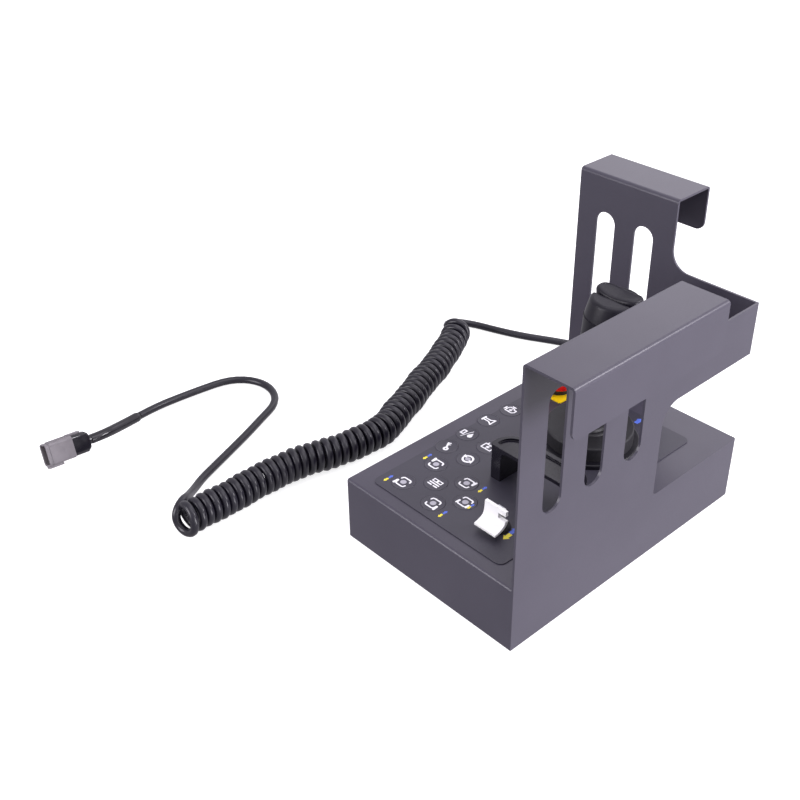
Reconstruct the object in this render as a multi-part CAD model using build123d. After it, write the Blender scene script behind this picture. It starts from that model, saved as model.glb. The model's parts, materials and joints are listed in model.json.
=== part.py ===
from build123d import *
import math
import os

# Operator's control box of a work platform, in millimetres, +Z up.
# The origin is the centre of the box's bottom face. +X is the operator's right, +Y points away.
# Places on the panel are given from the box's front left corner and turned into x and y below.

# Box
box_width = 235.0
box_depth = 350.0
box_height = 75.0
housing_wall = 2.0
plate_wall = 2.5
outer_bend = 3.5
corner_bend = 2.0
flange_width = 14.0
lip_height = 15.0

# Hanging plates
side_plate_width = 205.0
rear_plate_width = 128.0
hook_top = 317.0
hook_reach = 52.0
hook_lip = 51.0
hook_bend = 4.0
lip_corner = 10.0
arm_low = 181.5
arm_high = 240.0
arm_fillet = 22.0
foot_fillet = 4.0
slot_width = 25.4
slot_low = 142.5
slot_high = 275.0
side_slot_pitch = 57.2
side_slot_count = 3
rear_slot_pitch = 51.0
rear_slot_count = 2

# Bottom cover and its fasteners
cover_wall = 2.0
gasket_thickness = 1.5
gasket_width = 10.0
cover_gap = 0.5
screw_radius = 2.0
screw_clearance = 0.05
screw_hole_radius = 2.3
screw_head_radius = 3.8
screw_head_height = 2.2
socket_radius = 1.25
socket_depth = 1.3
rivet_nut_radius = 3.4
rivet_nut_length = 8.0
rivet_collar_radius = 5.0
rivet_collar_height = 1.2
cover_screw_inset = 60.0
countersink_radius = 4.0
countersink_gap = 0.1

# Keypad
overlay_thickness = 1.0
overlay_left = 22.5
overlay_right = 31.0
overlay_front = 16.0
overlay_rear = 39.0
overlay_corner = 8.0
key_radius = 12.5
key_gap = 0.3
key_thickness = 1.2
key_lift = 0.7
key_travel = 0.6
stem_radius = 3.0
stem_length = 5.2
stem_gap = 0.5
key_round = 0.4
switch_size = 6.0
switch_height = 2.2
plunger_height = 0.7
plunger_gap = 0.1
key_places = {
    "key_leg_front_left": (47.0, 37.5),
    "key_leg_front_right": (93.0, 35.5),
    "key_leg_rear_left": (48.0, 83.0),
    "key_leg_rear_right": (93.0, 83.0),
    "key_auto_level": (71.0, 60.5),
    "key_all_legs": (114.0, 60.0),
    "key_ignition": (32.5, 113.5),
    "key_fuel": (31.5, 146.0),
    "key_horn": (29.0, 181.5),
    "key_engine": (32.5, 214.0),
    "key_rotate": (64.5, 113.5),
    "key_generator": (64.0, 144.5),
}
circuit_board_thickness = 1.6
keypad_board_margin = 10.0
post_radius = 3.0
post_stud_radius = 1.5
post_hole_gap = 0.1
support_foot_radius = 5.0
support_foot_height = 1.0
barb_radius = 2.2
barb_height = 2.0

# Joystick
joystick_right = 106.0
joystick_rear = 118.0
joystick_tilt = 18.0
pivot_drop = 20.0
flange_radius = 54.0
flange_height = 6.0
puck_radius = 47.0
puck_height = 16.0
puck_round = 2.0
flange_skin = 1.2
screw_end_gap = 0.6
neck_radius = 8.0
boot_gap = 0.5
boot_wall = 2.5
panel_hole_radius = 46.0
flange_screw_circle = 50.0
flange_screw_count = 4
housing_radius = 45.5
housing_inner_radius = 43.8
housing_depth = 44.0
housing_floor = 3.0
housing_rim_radius = 54.0
housing_rim_height = 2.0
axle_radius = 3.0
axle_fit = 0.04
axle_length = 54.0
ear_gap = 21.0
ear_thickness = 5.0
ear_width = 16.0
shaft_radius = 5.0
shaft_fit = 0.05
shaft_below_pivot = 14.0
shaft_hub_radius = 8.0
shaft_hub_width = 24.0
shaft_cover = 3.0
spring_radius = 5.6
spring_wire_radius = 0.8
spring_length = 6.2
spring_turns = 4
grip_rise = 35.0
grip_length = 119.0
grip_neck_radius = 16.0
grip_heel_radius = 19.0
grip_waist_radius = 18.0
grip_palm_radius = 19.5
grip_shoulder_radius = 22.5
grip_top_radius = 28.2
head_radius = 27.4
head_top_radius = 25.5
head_height = 20.0
head_lean = 2.5
head_round = 5.0
head_side_shift = 7.5
head_forward_shift = 9.0
rocker_width = 23.4
rocker_forward = 4.5
rocker_half_length = 25.5
rocker_pivot_drop = 3.0
rocker_rise = 5.6
rocker_lobe = 2.6
rocker_hub = 3.0
rocker_tilt = 7.0
rocker_gap = 0.3
trigger_width = 14.0
trigger_drop = 21.0
trigger_length = 30.0
trigger_pin_inset = 4.0
trigger_inner = 17.5
trigger_outer = 29.0
trigger_gap = 0.4
trigger_swing = 6.0
grip_pin_radius = 1.5
grip_pin_length = 30.0
grip_pin_end_gap = 0.5
fixed_pin_fit = 0.02
turning_pin_fit = 0.04

# Emergency stop
estop_left = 40.0
estop_rear = 65.0
estop_plate_side = 44.0
estop_plate_thickness = 1.0
estop_collar_radius = 15.0
estop_collar_height = 9.0
estop_sleeve_radius = 11.0
estop_sleeve_length = 14.0
estop_stem_radius = 7.0
estop_stem_fit = 0.06
estop_head_radius = 20.0
estop_head_height = 17.0
estop_head_lift = 8.0
estop_recess_depth = 7.0
estop_travel = 4.0
estop_nut_radius = 14.5
estop_nut_height = 5.0
estop_block_side = 28.0
estop_block_height = 18.0
estop_terminal_reach = 7.7
estop_terminal_length = 4.0

# Toggle switch
toggle_left = 163.5
toggle_front = 56.5
toggle_tilt = 11.0
toggle_body_width = 14.0
toggle_body_length = 28.0
toggle_body_height = 22.0
toggle_bush_radius = 6.0
toggle_bush_gap = 0.2
toggle_nut_radius = 8.5
toggle_nut_height = 2.5
toggle_terminal_pitch = 9.0
toggle_terminal_length = 6.0
toggle_boot_radius = 12.0
toggle_boot_height = 8.0
lever_width = 6.0
lever_thickness = 4.0
lever_gap = 0.4
lever_height = 25.0
lever_pin_radius = 1.0
lever_pin_fit = 0.04
lever_pin_length = 11.0
toggle_pivot_drop = 3.0
paddle_width = 28.5
paddle_height = 29.0
paddle_wall = 3.2
paddle_front = 6.2
paddle_waist = 16.6
paddle_waist_front = 7.2
paddle_toe = 20.5
paddle_low = 6.4
paddle_toe_edge = 2.2
paddle_socket_width = 12.0
paddle_socket_rear = 4.2
paddle_socket_low = 12.5
paddle_notch_width = 11.3
paddle_notch_low = 18.2
paddle_notch_height = 6.0

# Joystick guard
guard_left = 99.5
guard_right = 22.5
guard_front = 109.0
guard_depth = 31.0
guard_height = 41.5
guard_deck = 4.5
guard_leg = 15.0
guard_near_corner = 4.0
guard_far_corner = 10.0
guard_inner_corner = 8.0
guard_edge = 1.8
guard_pocket_front = 5.0
guard_pocket_width = 11.5
guard_pocket_depth = 2.5
guard_pocket_inset = 12.0
guard_screw_spacing = 16.0
guard_screw_length = 14.0

# Cable gland
gland_left = 64.0
gland_height = 37.0
gland_thread_radius = 10.0
gland_hole_gap = 0.2
gland_hex_radius = 14.5
gland_hex_height = 5.0
gland_dome_radius = 12.0
gland_dome_length = 17.0
gland_neck_length = 3.0
gland_tail_length = 17.0
gland_tail_radius = 9.0
gland_tail_end_radius = 6.2
cable_fit = 0.25
gland_inside_length = 12.0
gland_nut_radius = 14.0
gland_nut_height = 5.0

# Cord
cable_radius = 4.75
coil_radius = 19.0
sleeve_radius = 6.5

# Plug
plug_roll = 25.0
shell_tall = 26.0
shell_wide = 15.0
shell_length = 30.0
shell_wall = 1.6
shell_depth = 18.0
shell_corner = 3.5
backshell_tall = 25.0
backshell_wide = 14.0
backshell_length = 23.0
latch_length = 20.0
latch_height = 2.4
latch_width = 8.0
contact_radius = 1.1
contact_length = 10.0

# Controller board
controller_left = 70.0
controller_front = 22.0
controller_width = 130.0
controller_depth = 120.0
controller_height = 20.0
controller_inset = 6.0
header_width = 40.0
header_depth = 10.0
header_height = 9.0
harness_radius = 3.0
harness_straight = 30.0
harness_drop = 50.0
harness_drop_height = 20.0
harness_run = 50.0
harness_low_height = 14.0
harness_sway = 3.0
harness_rise = 55.0
harness_rise_height = 18.0
harness_entry = 32.0
harness_entry_side = 6.0
chip_left = 50.0
chip_front = 40.0
chip_side = 24.0
chip_height = 2.5
capacitor_left = 30.0
capacitor_front = 20.0
capacitor_pitch = 24.0
capacitor_count = 4
capacitor_radius = 6.0
capacitor_height = 14.0

# Worked out from the sizes above
left_x = -box_width / 2
right_x = box_width / 2
front_y = -box_depth / 2
rear_y = box_depth / 2
panel_z = box_height
roof_low = box_height - housing_wall
overlay_top = panel_z + overlay_thickness
inner_right = right_x - plate_wall
inner_rear = rear_y - plate_wall
pivot_z = panel_z - pivot_drop
puck_top = panel_z + flange_height + puck_height
neck_swing = (puck_top - pivot_z) * math.tan(math.radians(joystick_tilt))
boot_opening = neck_radius + neck_swing + 2 * boot_gap
boot_radius = math.hypot(boot_opening, puck_top - pivot_z) - boot_gap
boot_skirt = math.degrees(math.atan2(boot_opening, puck_top - pivot_z)) + joystick_tilt + 2.0
grip_low = panel_z + grip_rise
grip_seam = grip_low + grip_length
shaft_top = grip_seam - shaft_cover
head_top = grip_seam + head_height
rocker_pivot_z = head_top - rocker_pivot_drop
trigger_high = grip_seam - trigger_drop
trigger_low = trigger_high - trigger_length
toggle_pivot_z = overlay_top - toggle_pivot_drop
hook_root = hook_top - 2 * hook_bend
plunger_top = panel_z + key_lift - stem_length - key_travel - plunger_gap
board_top = plunger_top - switch_height
flange_low = cover_wall + gasket_thickness


def place(from_left, from_front):
    """x and y of a place measured from the box's front left corner."""
    return left_x + from_left, front_y + from_front


def block(x0, x1, y0, y1, z0, z1):
    return Pos((x0 + x1) / 2, (y0 + y1) / 2, (z0 + z1) / 2) * Box(x1 - x0, y1 - y0, z1 - z0)


def post(x, y, z0, z1, radius):
    return Pos(x, y, (z0 + z1) / 2) * Cylinder(radius, z1 - z0)


def hexagon(x, y, z0, z1, radius):
    return Pos(x, y, z0) * extrude(RegularPolygon(radius, 6), z1 - z0)


def rod_x(x0, x1, y, z, radius):
    return Pos((x0 + x1) / 2, y, z) * Rot(0, 90, 0) * Cylinder(radius, x1 - x0)


def rod_y(x, y0, y1, z, radius):
    return Pos(x, (y0 + y1) / 2, z) * Rot(90, 0, 0) * Cylinder(radius, y1 - y0)


def edges_near(part, axis, **where):
    """The part's straight edges along an axis whose centre lies at the given x, y or z."""
    def fits(edge):
        centre = edge.center()
        return all(abs(getattr(centre, name.upper()) - value) < 0.01 for name, value in where.items())
    return [edge for edge in part.edges().filter_by(axis) if fits(edge)]


def joystick_place():
    return place(box_width - joystick_right, box_depth - joystick_rear)


# Screw places

def cover_screw_places():
    side_in = flange_width / 2
    lefts = [(housing_wall + side_in, v) for v in (cover_screw_inset, box_depth - cover_screw_inset)]
    rights = [(box_width - plate_wall - side_in, v) for u, v in lefts]
    middle = [(box_width / 2, housing_wall + side_in), (box_width / 2, box_depth - plate_wall - side_in)]
    return [place(u, v) for u, v in lefts + rights + middle]


def flange_screw_places():
    cx, cy = joystick_place()
    reach = Vector(flange_screw_circle, 0, 0).rotate(Axis.Z, 45)
    turned = [reach.rotate(Axis.Z, 360 * n / flange_screw_count) for n in range(flange_screw_count)]
    return [(cx + arm.X, cy + arm.Y) for arm in turned]


def guard_screw_places():
    legs = (guard_left + guard_leg / 2, box_width - guard_right - guard_leg / 2)
    middle = guard_front + guard_depth / 2
    rows = (middle - guard_screw_spacing / 2, middle + guard_screw_spacing / 2)
    return [place(u, v) for u in legs for v in rows]


def keypad_extent():
    lefts = [u for u, v in key_places.values()]
    fronts = [v for u, v in key_places.values()]
    return min(lefts), max(lefts), min(fronts), max(fronts)


def keypad_support_places():
    u0, u1, v0, v1 = keypad_extent()
    margin = keypad_board_margin - post_radius
    inner_row = key_places["key_fuel"][1]
    spots = ((u0 - margin, v0 - margin), (u1 + margin, v0 - margin), (u0 - margin, v1 + margin),
             (u1 + margin, inner_row))
    return [place(*spot) for spot in spots]


# Box and plates

def housing_shell():
    body = block(left_x, inner_right, front_y, inner_rear, 0, panel_z)
    bends = edges_near(body, Axis.X, y=front_y, z=panel_z) + edges_near(body, Axis.Y, x=left_x, z=panel_z)
    bends += edges_near(body, Axis.Z, x=left_x, y=front_y)
    body = fillet(bends, outer_bend)
    left, front = left_x + housing_wall, front_y + housing_wall
    hollow = block(left, inner_right + 1, front, inner_rear + 1, -1, roof_low)
    bends = edges_near(hollow, Axis.X, y=front, z=roof_low) + edges_near(hollow, Axis.Y, x=left, z=roof_low)
    bends += edges_near(hollow, Axis.Z, x=left, y=front)
    body -= fillet(bends, outer_bend - housing_wall)
    lip_low = roof_low - lip_height
    lips = block(inner_right - housing_wall, inner_right, front, inner_rear, lip_low, roof_low)
    lips += block(left, inner_right, inner_rear - housing_wall, inner_rear, lip_low, roof_low)
    flange_top = flange_low + housing_wall
    flanges = block(left, left + flange_width, front, inner_rear, flange_low, flange_top)
    flanges += block(left, inner_right, front, front + flange_width, flange_low, flange_top)
    body += lips + flanges
    for x, y in key_centres():
        body -= post(x, y, roof_low - 1, panel_z + 1, stem_radius + stem_gap)
    cx, cy = joystick_place()
    body -= post(cx, cy, roof_low - 1, panel_z + 1, panel_hole_radius)
    ex, ey = estop_place()
    body -= post(ex, ey, roof_low - 1, panel_z + 1, estop_sleeve_radius + gland_hole_gap)
    tx, ty = toggle_place()
    body -= post(tx, ty, roof_low - 1, panel_z + 1, toggle_bush_radius + toggle_bush_gap)
    for x, y in flange_screw_places() + guard_screw_places():
        body -= post(x, y, roof_low - 1, panel_z + 1, screw_hole_radius)
    for x, y in cover_screw_places():
        body -= post(x, y, flange_low - 1, flange_top + 1, rivet_nut_radius + screw_clearance)
    return body


def slot_cut(width, low, high, plane, thickness):
    """A slot with round ends, standing upright in the sketch plane."""
    outline = Pos(0, (low + high) / 2) * SlotOverall(high - low, width, rotation=90)
    return extrude(plane * outline, amount=thickness, both=True)


def plate_outline(depth, width):
    """The outline of a plate: wall, upright part, and the arm that runs to the far corner."""
    corners = [(0, 0), (0, hook_root), (width, hook_root), (width, arm_high), (depth, arm_high),
               (depth, arm_low), (width, arm_low), (width, box_height), (depth, box_height), (depth, 0)]
    face = make_face(Polyline(*corners, close=True))
    for height, radius in ((arm_high, arm_fillet), (arm_low, arm_fillet), (box_height, foot_fillet)):
        face = fillet([v for v in face.vertices() if near_point(v, width, height)], radius)
    return face


def near_point(vertex, a, b):
    return abs(vertex.X - a) < 0.01 and abs(vertex.Y - b) < 0.01


def hook(length):
    """The hook's top and lip, as a section in x and z pushed along y. x = 0 is the plate's outer face."""
    under = hook_top - plate_wall
    outer = [(-plate_wall, hook_root), (-plate_wall, hook_top), (hook_reach, hook_top),
             (hook_reach, hook_top - hook_lip), (hook_reach - plate_wall, hook_top - hook_lip),
             (hook_reach - plate_wall, under), (0, under), (0, hook_root)]
    face = make_face(Polyline(*outer, close=True))
    inner_bend = hook_bend - plate_wall
    bends = ((-plate_wall, hook_top, hook_bend), (hook_reach, hook_top, hook_bend),
             (hook_reach - plate_wall, under, inner_bend), (0, under, inner_bend))
    for a, b, radius in bends:
        face = fillet([v for v in face.vertices() if near_point(v, a, b)], radius)
    solid = extrude(Plane.XZ * face, amount=-length)
    return fillet(solid.edges().filter_by(Axis.X).group_by(Axis.Z)[0], lip_corner)


def hooked_plate(depth, width, slot_pitch, slot_count):
    """A plate in its own frame: outer face at x = 0, running along +y from its free edge."""
    sheet = extrude(Plane.YZ * plate_outline(depth, width), amount=-plate_wall)
    first = width / 2 - slot_pitch * (slot_count - 1) / 2
    for n in range(slot_count):
        middle = first + n * slot_pitch
        sheet -= slot_cut(slot_width, slot_low, slot_high, Plane.YZ * Pos(middle, 0), 2 * plate_wall)
    return sheet + hook(width)


def side_plate():
    plate = hooked_plate(box_depth, side_plate_width, side_slot_pitch, side_slot_count)
    plate = Pos(right_x, front_y, 0) * plate
    plate = fillet(edges_near(plate, Axis.Z, x=right_x, y=rear_y), corner_bend)
    flange_top = flange_low + housing_wall
    plate += block(inner_right - flange_width, inner_right, front_y + housing_wall + flange_width, inner_rear,
                   flange_low, flange_top)
    for x, y in cover_screw_places():
        if x > 0.5 * right_x:
            plate -= post(x, y, flange_low - 1, flange_top + 1, rivet_nut_radius + screw_clearance)
    return plate


def rear_plate():
    plate = hooked_plate(box_width - plate_wall, rear_plate_width, rear_slot_pitch, rear_slot_count)
    plate = Pos(left_x, rear_y, 0) * Rot(0, 0, 90) * mirror(plate, Plane.XZ)
    flange_top = flange_low + housing_wall
    plate += block(left_x + housing_wall + flange_width, inner_right - flange_width, inner_rear - flange_width,
                   inner_rear, flange_low, flange_top)
    for x, y in cover_screw_places():
        if y > 0.8 * rear_y:
            plate -= post(x, y, flange_low - 1, flange_top + 1, rivet_nut_radius + screw_clearance)
    gx, gy = place(gland_left, box_depth)
    return plate - rod_y(gx, inner_rear - 1, rear_y + 1, gland_height, gland_thread_radius + gland_hole_gap)


def cover_extent():
    inset = housing_wall + cover_gap
    return left_x + inset, inner_right - cover_gap, front_y + inset, inner_rear - cover_gap


def bottom_cover():
    left, right, front, rear = cover_extent()
    cover = block(left, right, front, rear, 0, cover_wall)
    cover = fillet(cover.edges().filter_by(Axis.Z), outer_bend - housing_wall)
    for x, y in cover_screw_places():
        cover -= countersink(x, y, countersink_gap)
    return cover


def countersink(x, y, gap):
    """The cone of a countersunk head that is flush with the cover's underside."""
    return Pos(x, y, cover_wall / 2) * Cone(countersink_radius + gap, screw_radius + gap, cover_wall)


def cover_gasket():
    left, right, front, rear = cover_extent()
    ring = block(left, right, front, rear, cover_wall, flange_low)
    ring -= block(left + gasket_width, right - gasket_width, front + gasket_width, rear - gasket_width,
                  cover_wall - 1, flange_low + 1)
    for x, y in cover_screw_places():
        ring -= post(x, y, cover_wall - 1, flange_low + 1, screw_hole_radius)
    return ring


def machine_screw(x, y, head_face, length, up=True):
    """A socket screw whose head rests on head_face; up says that its shank points up."""
    sign = 1 if up else -1
    head = sorted((head_face, head_face - sign * screw_head_height))
    shank = sorted((head_face, head_face + sign * length))
    screw = post(x, y, head[0], head[1], screw_head_radius) + post(x, y, shank[0], shank[1], screw_radius)
    outer = head_face - sign * screw_head_height
    cut = sorted((outer - sign, outer + sign * socket_depth))
    return screw - hexagon(x, y, cut[0], cut[1], socket_radius)


def cover_screws():
    screws = []
    for x, y in cover_screw_places():
        screw = countersink(x, y, 0) + post(x, y, cover_wall, flange_low + rivet_nut_length, screw_radius)
        screws.append(screw - hexagon(x, y, -1, socket_depth, socket_radius))
    return screws


def rivet_nuts():
    flange_top = flange_low + housing_wall
    nuts = []
    for x, y in cover_screw_places():
        nut = post(x, y, flange_low, flange_low + rivet_nut_length, rivet_nut_radius)
        nut += post(x, y, flange_top, flange_top + rivet_collar_height, rivet_collar_radius)
        thread = post(x, y, flange_low - 1, flange_low + rivet_nut_length + 1, screw_radius + screw_clearance)
        nuts.append(nut - thread)
    return nuts


# Keypad

def key_centres():
    return [place(*spot) for spot in key_places.values()]


def keypad_overlay():
    u0, u1 = overlay_left, box_width - overlay_right
    v0, v1 = overlay_front, box_depth - overlay_rear
    cx, cy = place((u0 + u1) / 2, (v0 + v1) / 2)
    outline = RectangleRounded(u1 - u0, v1 - v0, overlay_corner)
    sheet = Pos(cx, cy, panel_z) * extrude(outline, overlay_thickness)
    for x, y in key_centres():
        sheet -= post(x, y, panel_z - 1, overlay_top + 1, key_radius + key_gap)
    jx, jy = joystick_place()
    sheet -= post(jx, jy, panel_z - 1, overlay_top + 1, flange_radius + key_gap)
    ex, ey = estop_place()
    sheet -= post(ex, ey, panel_z - 1, overlay_top + 1, estop_sleeve_radius + gland_hole_gap)
    tx, ty = toggle_place()
    sheet -= post(tx, ty, panel_z - 1, overlay_top + 1, toggle_bush_radius + toggle_bush_gap)
    for x, y in guard_screw_places():
        sheet -= post(x, y, panel_z - 1, overlay_top + 1, screw_hole_radius)
    return sheet


def key(spot):
    x, y = place(*spot)
    low = panel_z + key_lift
    cap = post(x, y, low, low + key_thickness, key_radius)
    cap = fillet(cap.edges().group_by(Axis.Z)[-1], key_round)
    return cap + post(x, y, low - stem_length, low, stem_radius)


def keypad_board():
    u0, u1, v0, v1 = keypad_extent()
    left, front = place(u0 - keypad_board_margin, v0 - keypad_board_margin)
    right, rear = place(u1 + keypad_board_margin, v1 + keypad_board_margin)
    split = place(0, key_places["key_fuel"][1] + keypad_board_margin)[1]
    strip = place(key_places["key_engine"][0] + keypad_board_margin, 0)[0]
    low = board_top - circuit_board_thickness
    board = block(left, right, front, split, low, board_top) + block(left, strip, front, rear, low, board_top)
    for x, y in keypad_support_places():
        board -= post(x, y, low - 1, board_top + 1, post_stud_radius + post_hole_gap)
    return board


def key_switches():
    """One tactile switch under each key: a square body and its round plunger."""
    switches = []
    half = switch_size / 2
    body_top = plunger_top - plunger_height
    for x, y in key_centres():
        body = block(x - half, x + half, y - half, y + half, board_top, body_top)
        switches.append(body + post(x, y, body_top, plunger_top, switch_size / 4))
    return switches


def board_support(x, y, foot_face, board_face, up):
    """A moulded post from a sheet to a board, with a stud and a barb on the board's other side."""
    sign = 1 if up else -1
    far_face = board_face + sign * circuit_board_thickness
    stages = (
        (foot_face, foot_face + sign * support_foot_height, support_foot_radius),
        (foot_face, board_face, post_radius),
        (board_face, far_face, post_stud_radius),
        (far_face, far_face + sign * barb_height, barb_radius),
    )
    return Part() + [post(x, y, *sorted((low, high)), radius) for low, high, radius in stages]


def board_supports():
    """The posts of both boards: four hang from the top sheet, four stand on the bottom cover."""
    hanging = [board_support(x, y, roof_low, board_top, False) for x, y in keypad_support_places()]
    standing = [board_support(x, y, cover_wall, controller_height, True) for x, y in controller_corners()]
    return hanging + standing


# Joystick

def swing_ball(extra):
    cx, cy = joystick_place()
    return Pos(cx, cy, pivot_z) * Sphere(boot_radius + extra)


def joystick_flange():
    cx, cy = joystick_place()
    ring = post(cx, cy, panel_z, panel_z + flange_height, flange_radius)
    ring = fillet(ring.edges().group_by(Axis.Z)[-1], puck_round)
    ring -= swing_ball(boot_gap)
    for x, y in flange_screw_places():
        ring -= post(x, y, panel_z - 1, panel_z + flange_height - flange_skin, screw_radius + screw_clearance)
    return ring


def flange_screws():
    face = roof_low - housing_rim_height
    reach = housing_rim_height + housing_wall + flange_height - flange_skin - screw_end_gap
    return [machine_screw(x, y, face, reach) for x, y in flange_screw_places()]


def boot_ring():
    cx, cy = joystick_place()
    low = panel_z + flange_height
    ring = post(cx, cy, low, puck_top, puck_radius)
    ring = fillet(ring.edges().group_by(Axis.Z)[-1], puck_round)
    return ring - swing_ball(boot_gap)


def boot_dome():
    """The boot's moving middle: a ball shell about the pivot, with the neck that holds the shaft."""
    cx, cy = joystick_place()
    shell = swing_ball(0) - swing_ball(-boot_wall)
    skirt_z = pivot_z + boot_radius * math.cos(math.radians(boot_skirt))
    reach = 2 * boot_radius
    shell = shell & block(cx - reach, cx + reach, cy - reach, cy + reach, skirt_z, pivot_z + reach)
    neck = post(cx, cy, pivot_z + boot_radius - 2 * boot_wall, grip_low, neck_radius)
    return shell + neck - post(cx, cy, pivot_z, grip_low + 1, shaft_radius + shaft_fit)


def joystick_housing():
    cx, cy = joystick_place()
    low = roof_low - housing_depth
    cup = post(cx, cy, low, roof_low, housing_radius)
    cup += post(cx, cy, roof_low - housing_rim_height, roof_low, housing_rim_radius)
    cup -= post(cx, cy, low + housing_floor, roof_low + 1, housing_inner_radius)
    for side in (-1, 1):
        x0, x1 = sorted((cx + side * ear_gap, cx + side * (ear_gap + ear_thickness)))
        cup += block(x0, x1, cy - ear_width / 2, cy + ear_width / 2, low, pivot_z + ear_width / 2)
    reach = ear_gap + ear_thickness + 1
    cup -= rod_x(cx - reach, cx + reach, cy, pivot_z, axle_radius + axle_fit)
    for x, y in flange_screw_places():
        cup -= post(x, y, roof_low - housing_rim_height - 1, roof_low + 1, screw_hole_radius)
    return cup


def pivot_axle():
    cx, cy = joystick_place()
    return rod_x(cx - axle_length / 2, cx + axle_length / 2, cy, pivot_z, axle_radius)


def joystick_shaft():
    cx, cy = joystick_place()
    shaft = post(cx, cy, pivot_z - shaft_below_pivot, shaft_top, shaft_radius)
    shaft += rod_x(cx - shaft_hub_width / 2, cx + shaft_hub_width / 2, cy, pivot_z, shaft_hub_radius)
    return shaft - rod_x(cx - shaft_hub_width, cx + shaft_hub_width, cy, pivot_z, axle_radius + axle_fit)


def centring_spring():
    """A torsion spring on the axle, between the shaft's hub and the right ear."""
    cx, cy = joystick_place()
    start = cx + shaft_hub_width / 2 + 0.3 + spring_wire_radius
    pitch = spring_length / spring_turns
    path = Helix(pitch, pitch * spring_turns, spring_radius)
    section = Plane(path @ 0, z_dir=path % 0) * Circle(spring_wire_radius)
    return Pos(start, cy, pivot_z) * Rot(0, 90, 0) * sweep(section, path=path)


def grip_section(z, radius, lean):
    """A round section of the grip; lean is its share of the head's shift to the right and forward."""
    cx, cy = joystick_place()
    return Pos(cx + lean * head_side_shift, cy + lean * head_forward_shift, z) * Circle(radius)


def grip_body():
    """The grip: round sections by share of its height, radius and lean, less the trigger's pocket."""
    stations = (
        (0.0, grip_neck_radius, 0.0),
        (0.14, grip_heel_radius, 0.0),
        (0.36, grip_waist_radius, 0.05),
        (0.60, grip_palm_radius, 0.15),
        (0.80, grip_shoulder_radius, 0.42),
        (1.0, grip_top_radius, 1.0),
    )
    body = loft([grip_section(grip_low + share * grip_length, radius, lean)
                 for share, radius, lean in stations])
    cx, cy = joystick_place()
    body -= post(cx, cy, grip_low - 1, shaft_top, shaft_radius + shaft_fit)
    half = trigger_width / 2 + trigger_gap
    swing = trigger_length * math.sin(math.radians(trigger_swing))
    inner = cy + trigger_inner - swing - 2 * trigger_gap
    above = 5 * trigger_gap
    body -= block(cx - half, cx + half, inner, cy + 2 * trigger_outer, trigger_low - above, trigger_high + above)
    pin = grip_pin_length / 2 + grip_pin_end_gap
    x, y, z = trigger_pin_place()
    return body - rod_x(x - pin, x + pin, y, z, grip_pin_radius + fixed_pin_fit)


def trigger_pin_place():
    cx, cy = joystick_place()
    return cx, cy + trigger_inner + trigger_pin_inset, trigger_high - trigger_pin_inset


def head_place():
    """Centre of the head's top, which leans a little past the middle of its seam."""
    cx, cy = joystick_place()
    return cx + head_side_shift + head_lean, cy + head_forward_shift + head_lean


def rocker_place():
    x, y = head_place()
    return x, y + rocker_forward


def grip_head():
    x, y = head_place()
    halfway = Pos(x - head_lean / 2, y - head_lean / 2, grip_seam + head_height / 2)
    head = loft([
        grip_section(grip_seam, head_radius, 1.0),
        halfway * Circle(0.65 * head_radius + 0.35 * head_top_radius),
        Pos(x, y, head_top) * Circle(head_top_radius),
    ])
    head = fillet(head.edges().group_by(Axis.Z)[-1], head_round)
    middle = rocker_place()[1]
    half = rocker_width / 2 + rocker_gap
    reach = 2 * head_radius
    head -= block(x - reach, x + reach, middle - half, middle + half, rocker_pivot_z - rocker_hub - rocker_gap,
                  head_top + reach)
    pin = grip_pin_length / 2 + grip_pin_end_gap
    return head - rod_y(x, middle - pin, middle + pin, rocker_pivot_z, grip_pin_radius + fixed_pin_fit)


def thumb_rocker():
    """A rocker with two lobes: a section in x and z, pushed along y and trimmed to the head's outline."""
    end = rocker_half_length
    low = end * math.sin(math.radians(rocker_tilt)) + 2 * rocker_gap - rocker_hub
    lobe = rocker_rise + rocker_lobe
    dip = rocker_rise + 0.15 * rocker_lobe
    top = Spline((end, rocker_rise), (0.55 * end, lobe), (0, dip), (-0.55 * end, lobe), (-end, rocker_rise))
    under = Polyline((-end, rocker_rise), (-end, low), (0, -rocker_hub), (end, low), (end, rocker_rise))
    bar = extrude(Plane.XZ * make_face([top, under]), amount=rocker_width / 2, both=True)
    x, y = rocker_place()
    bar = Pos(x, y, rocker_pivot_z) * bar
    outline = Pos(*head_place(), rocker_pivot_z - head_height) * Circle(head_top_radius)
    bar = bar & extrude(outline, 2 * head_height)
    hole = grip_pin_radius + turning_pin_fit
    return bar - rod_y(x, y - rocker_width, y + rocker_width, rocker_pivot_z, hole)


def enable_trigger():
    """The finger trigger on the grip's far side, hinged at its top."""
    cx, cy = joystick_place()
    shoulder = (trigger_inner + trigger_outer) / 2 + trigger_gap
    height = trigger_length
    outline = [(trigger_outer, 0), (trigger_inner, 0), (trigger_inner, height), (shoulder, height)]
    hollows = [(trigger_outer - 3.5, 0.6 * height), (trigger_outer - 2.5, 0.3 * height)]
    front = Spline((shoulder, height), *hollows, (trigger_outer, 0))
    face = make_face([Polyline(*outline), front])
    solid = Pos(cx - trigger_width / 2, cy, trigger_low) * extrude(Plane.YZ * face, amount=trigger_width)
    x, y, z = trigger_pin_place()
    return solid - rod_x(x - trigger_width, x + trigger_width, y, z, grip_pin_radius + turning_pin_fit)


def grip_pins():
    """Two equal pins: one carries the rocker, the other the trigger."""
    half = grip_pin_length / 2
    rocker_x, rocker_y = rocker_place()
    x, y, z = trigger_pin_place()
    along = rod_y(rocker_x, rocker_y - half, rocker_y + half, rocker_pivot_z, grip_pin_radius)
    return [along, rod_x(x - half, x + half, y, z, grip_pin_radius)]


# Emergency stop

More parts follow.
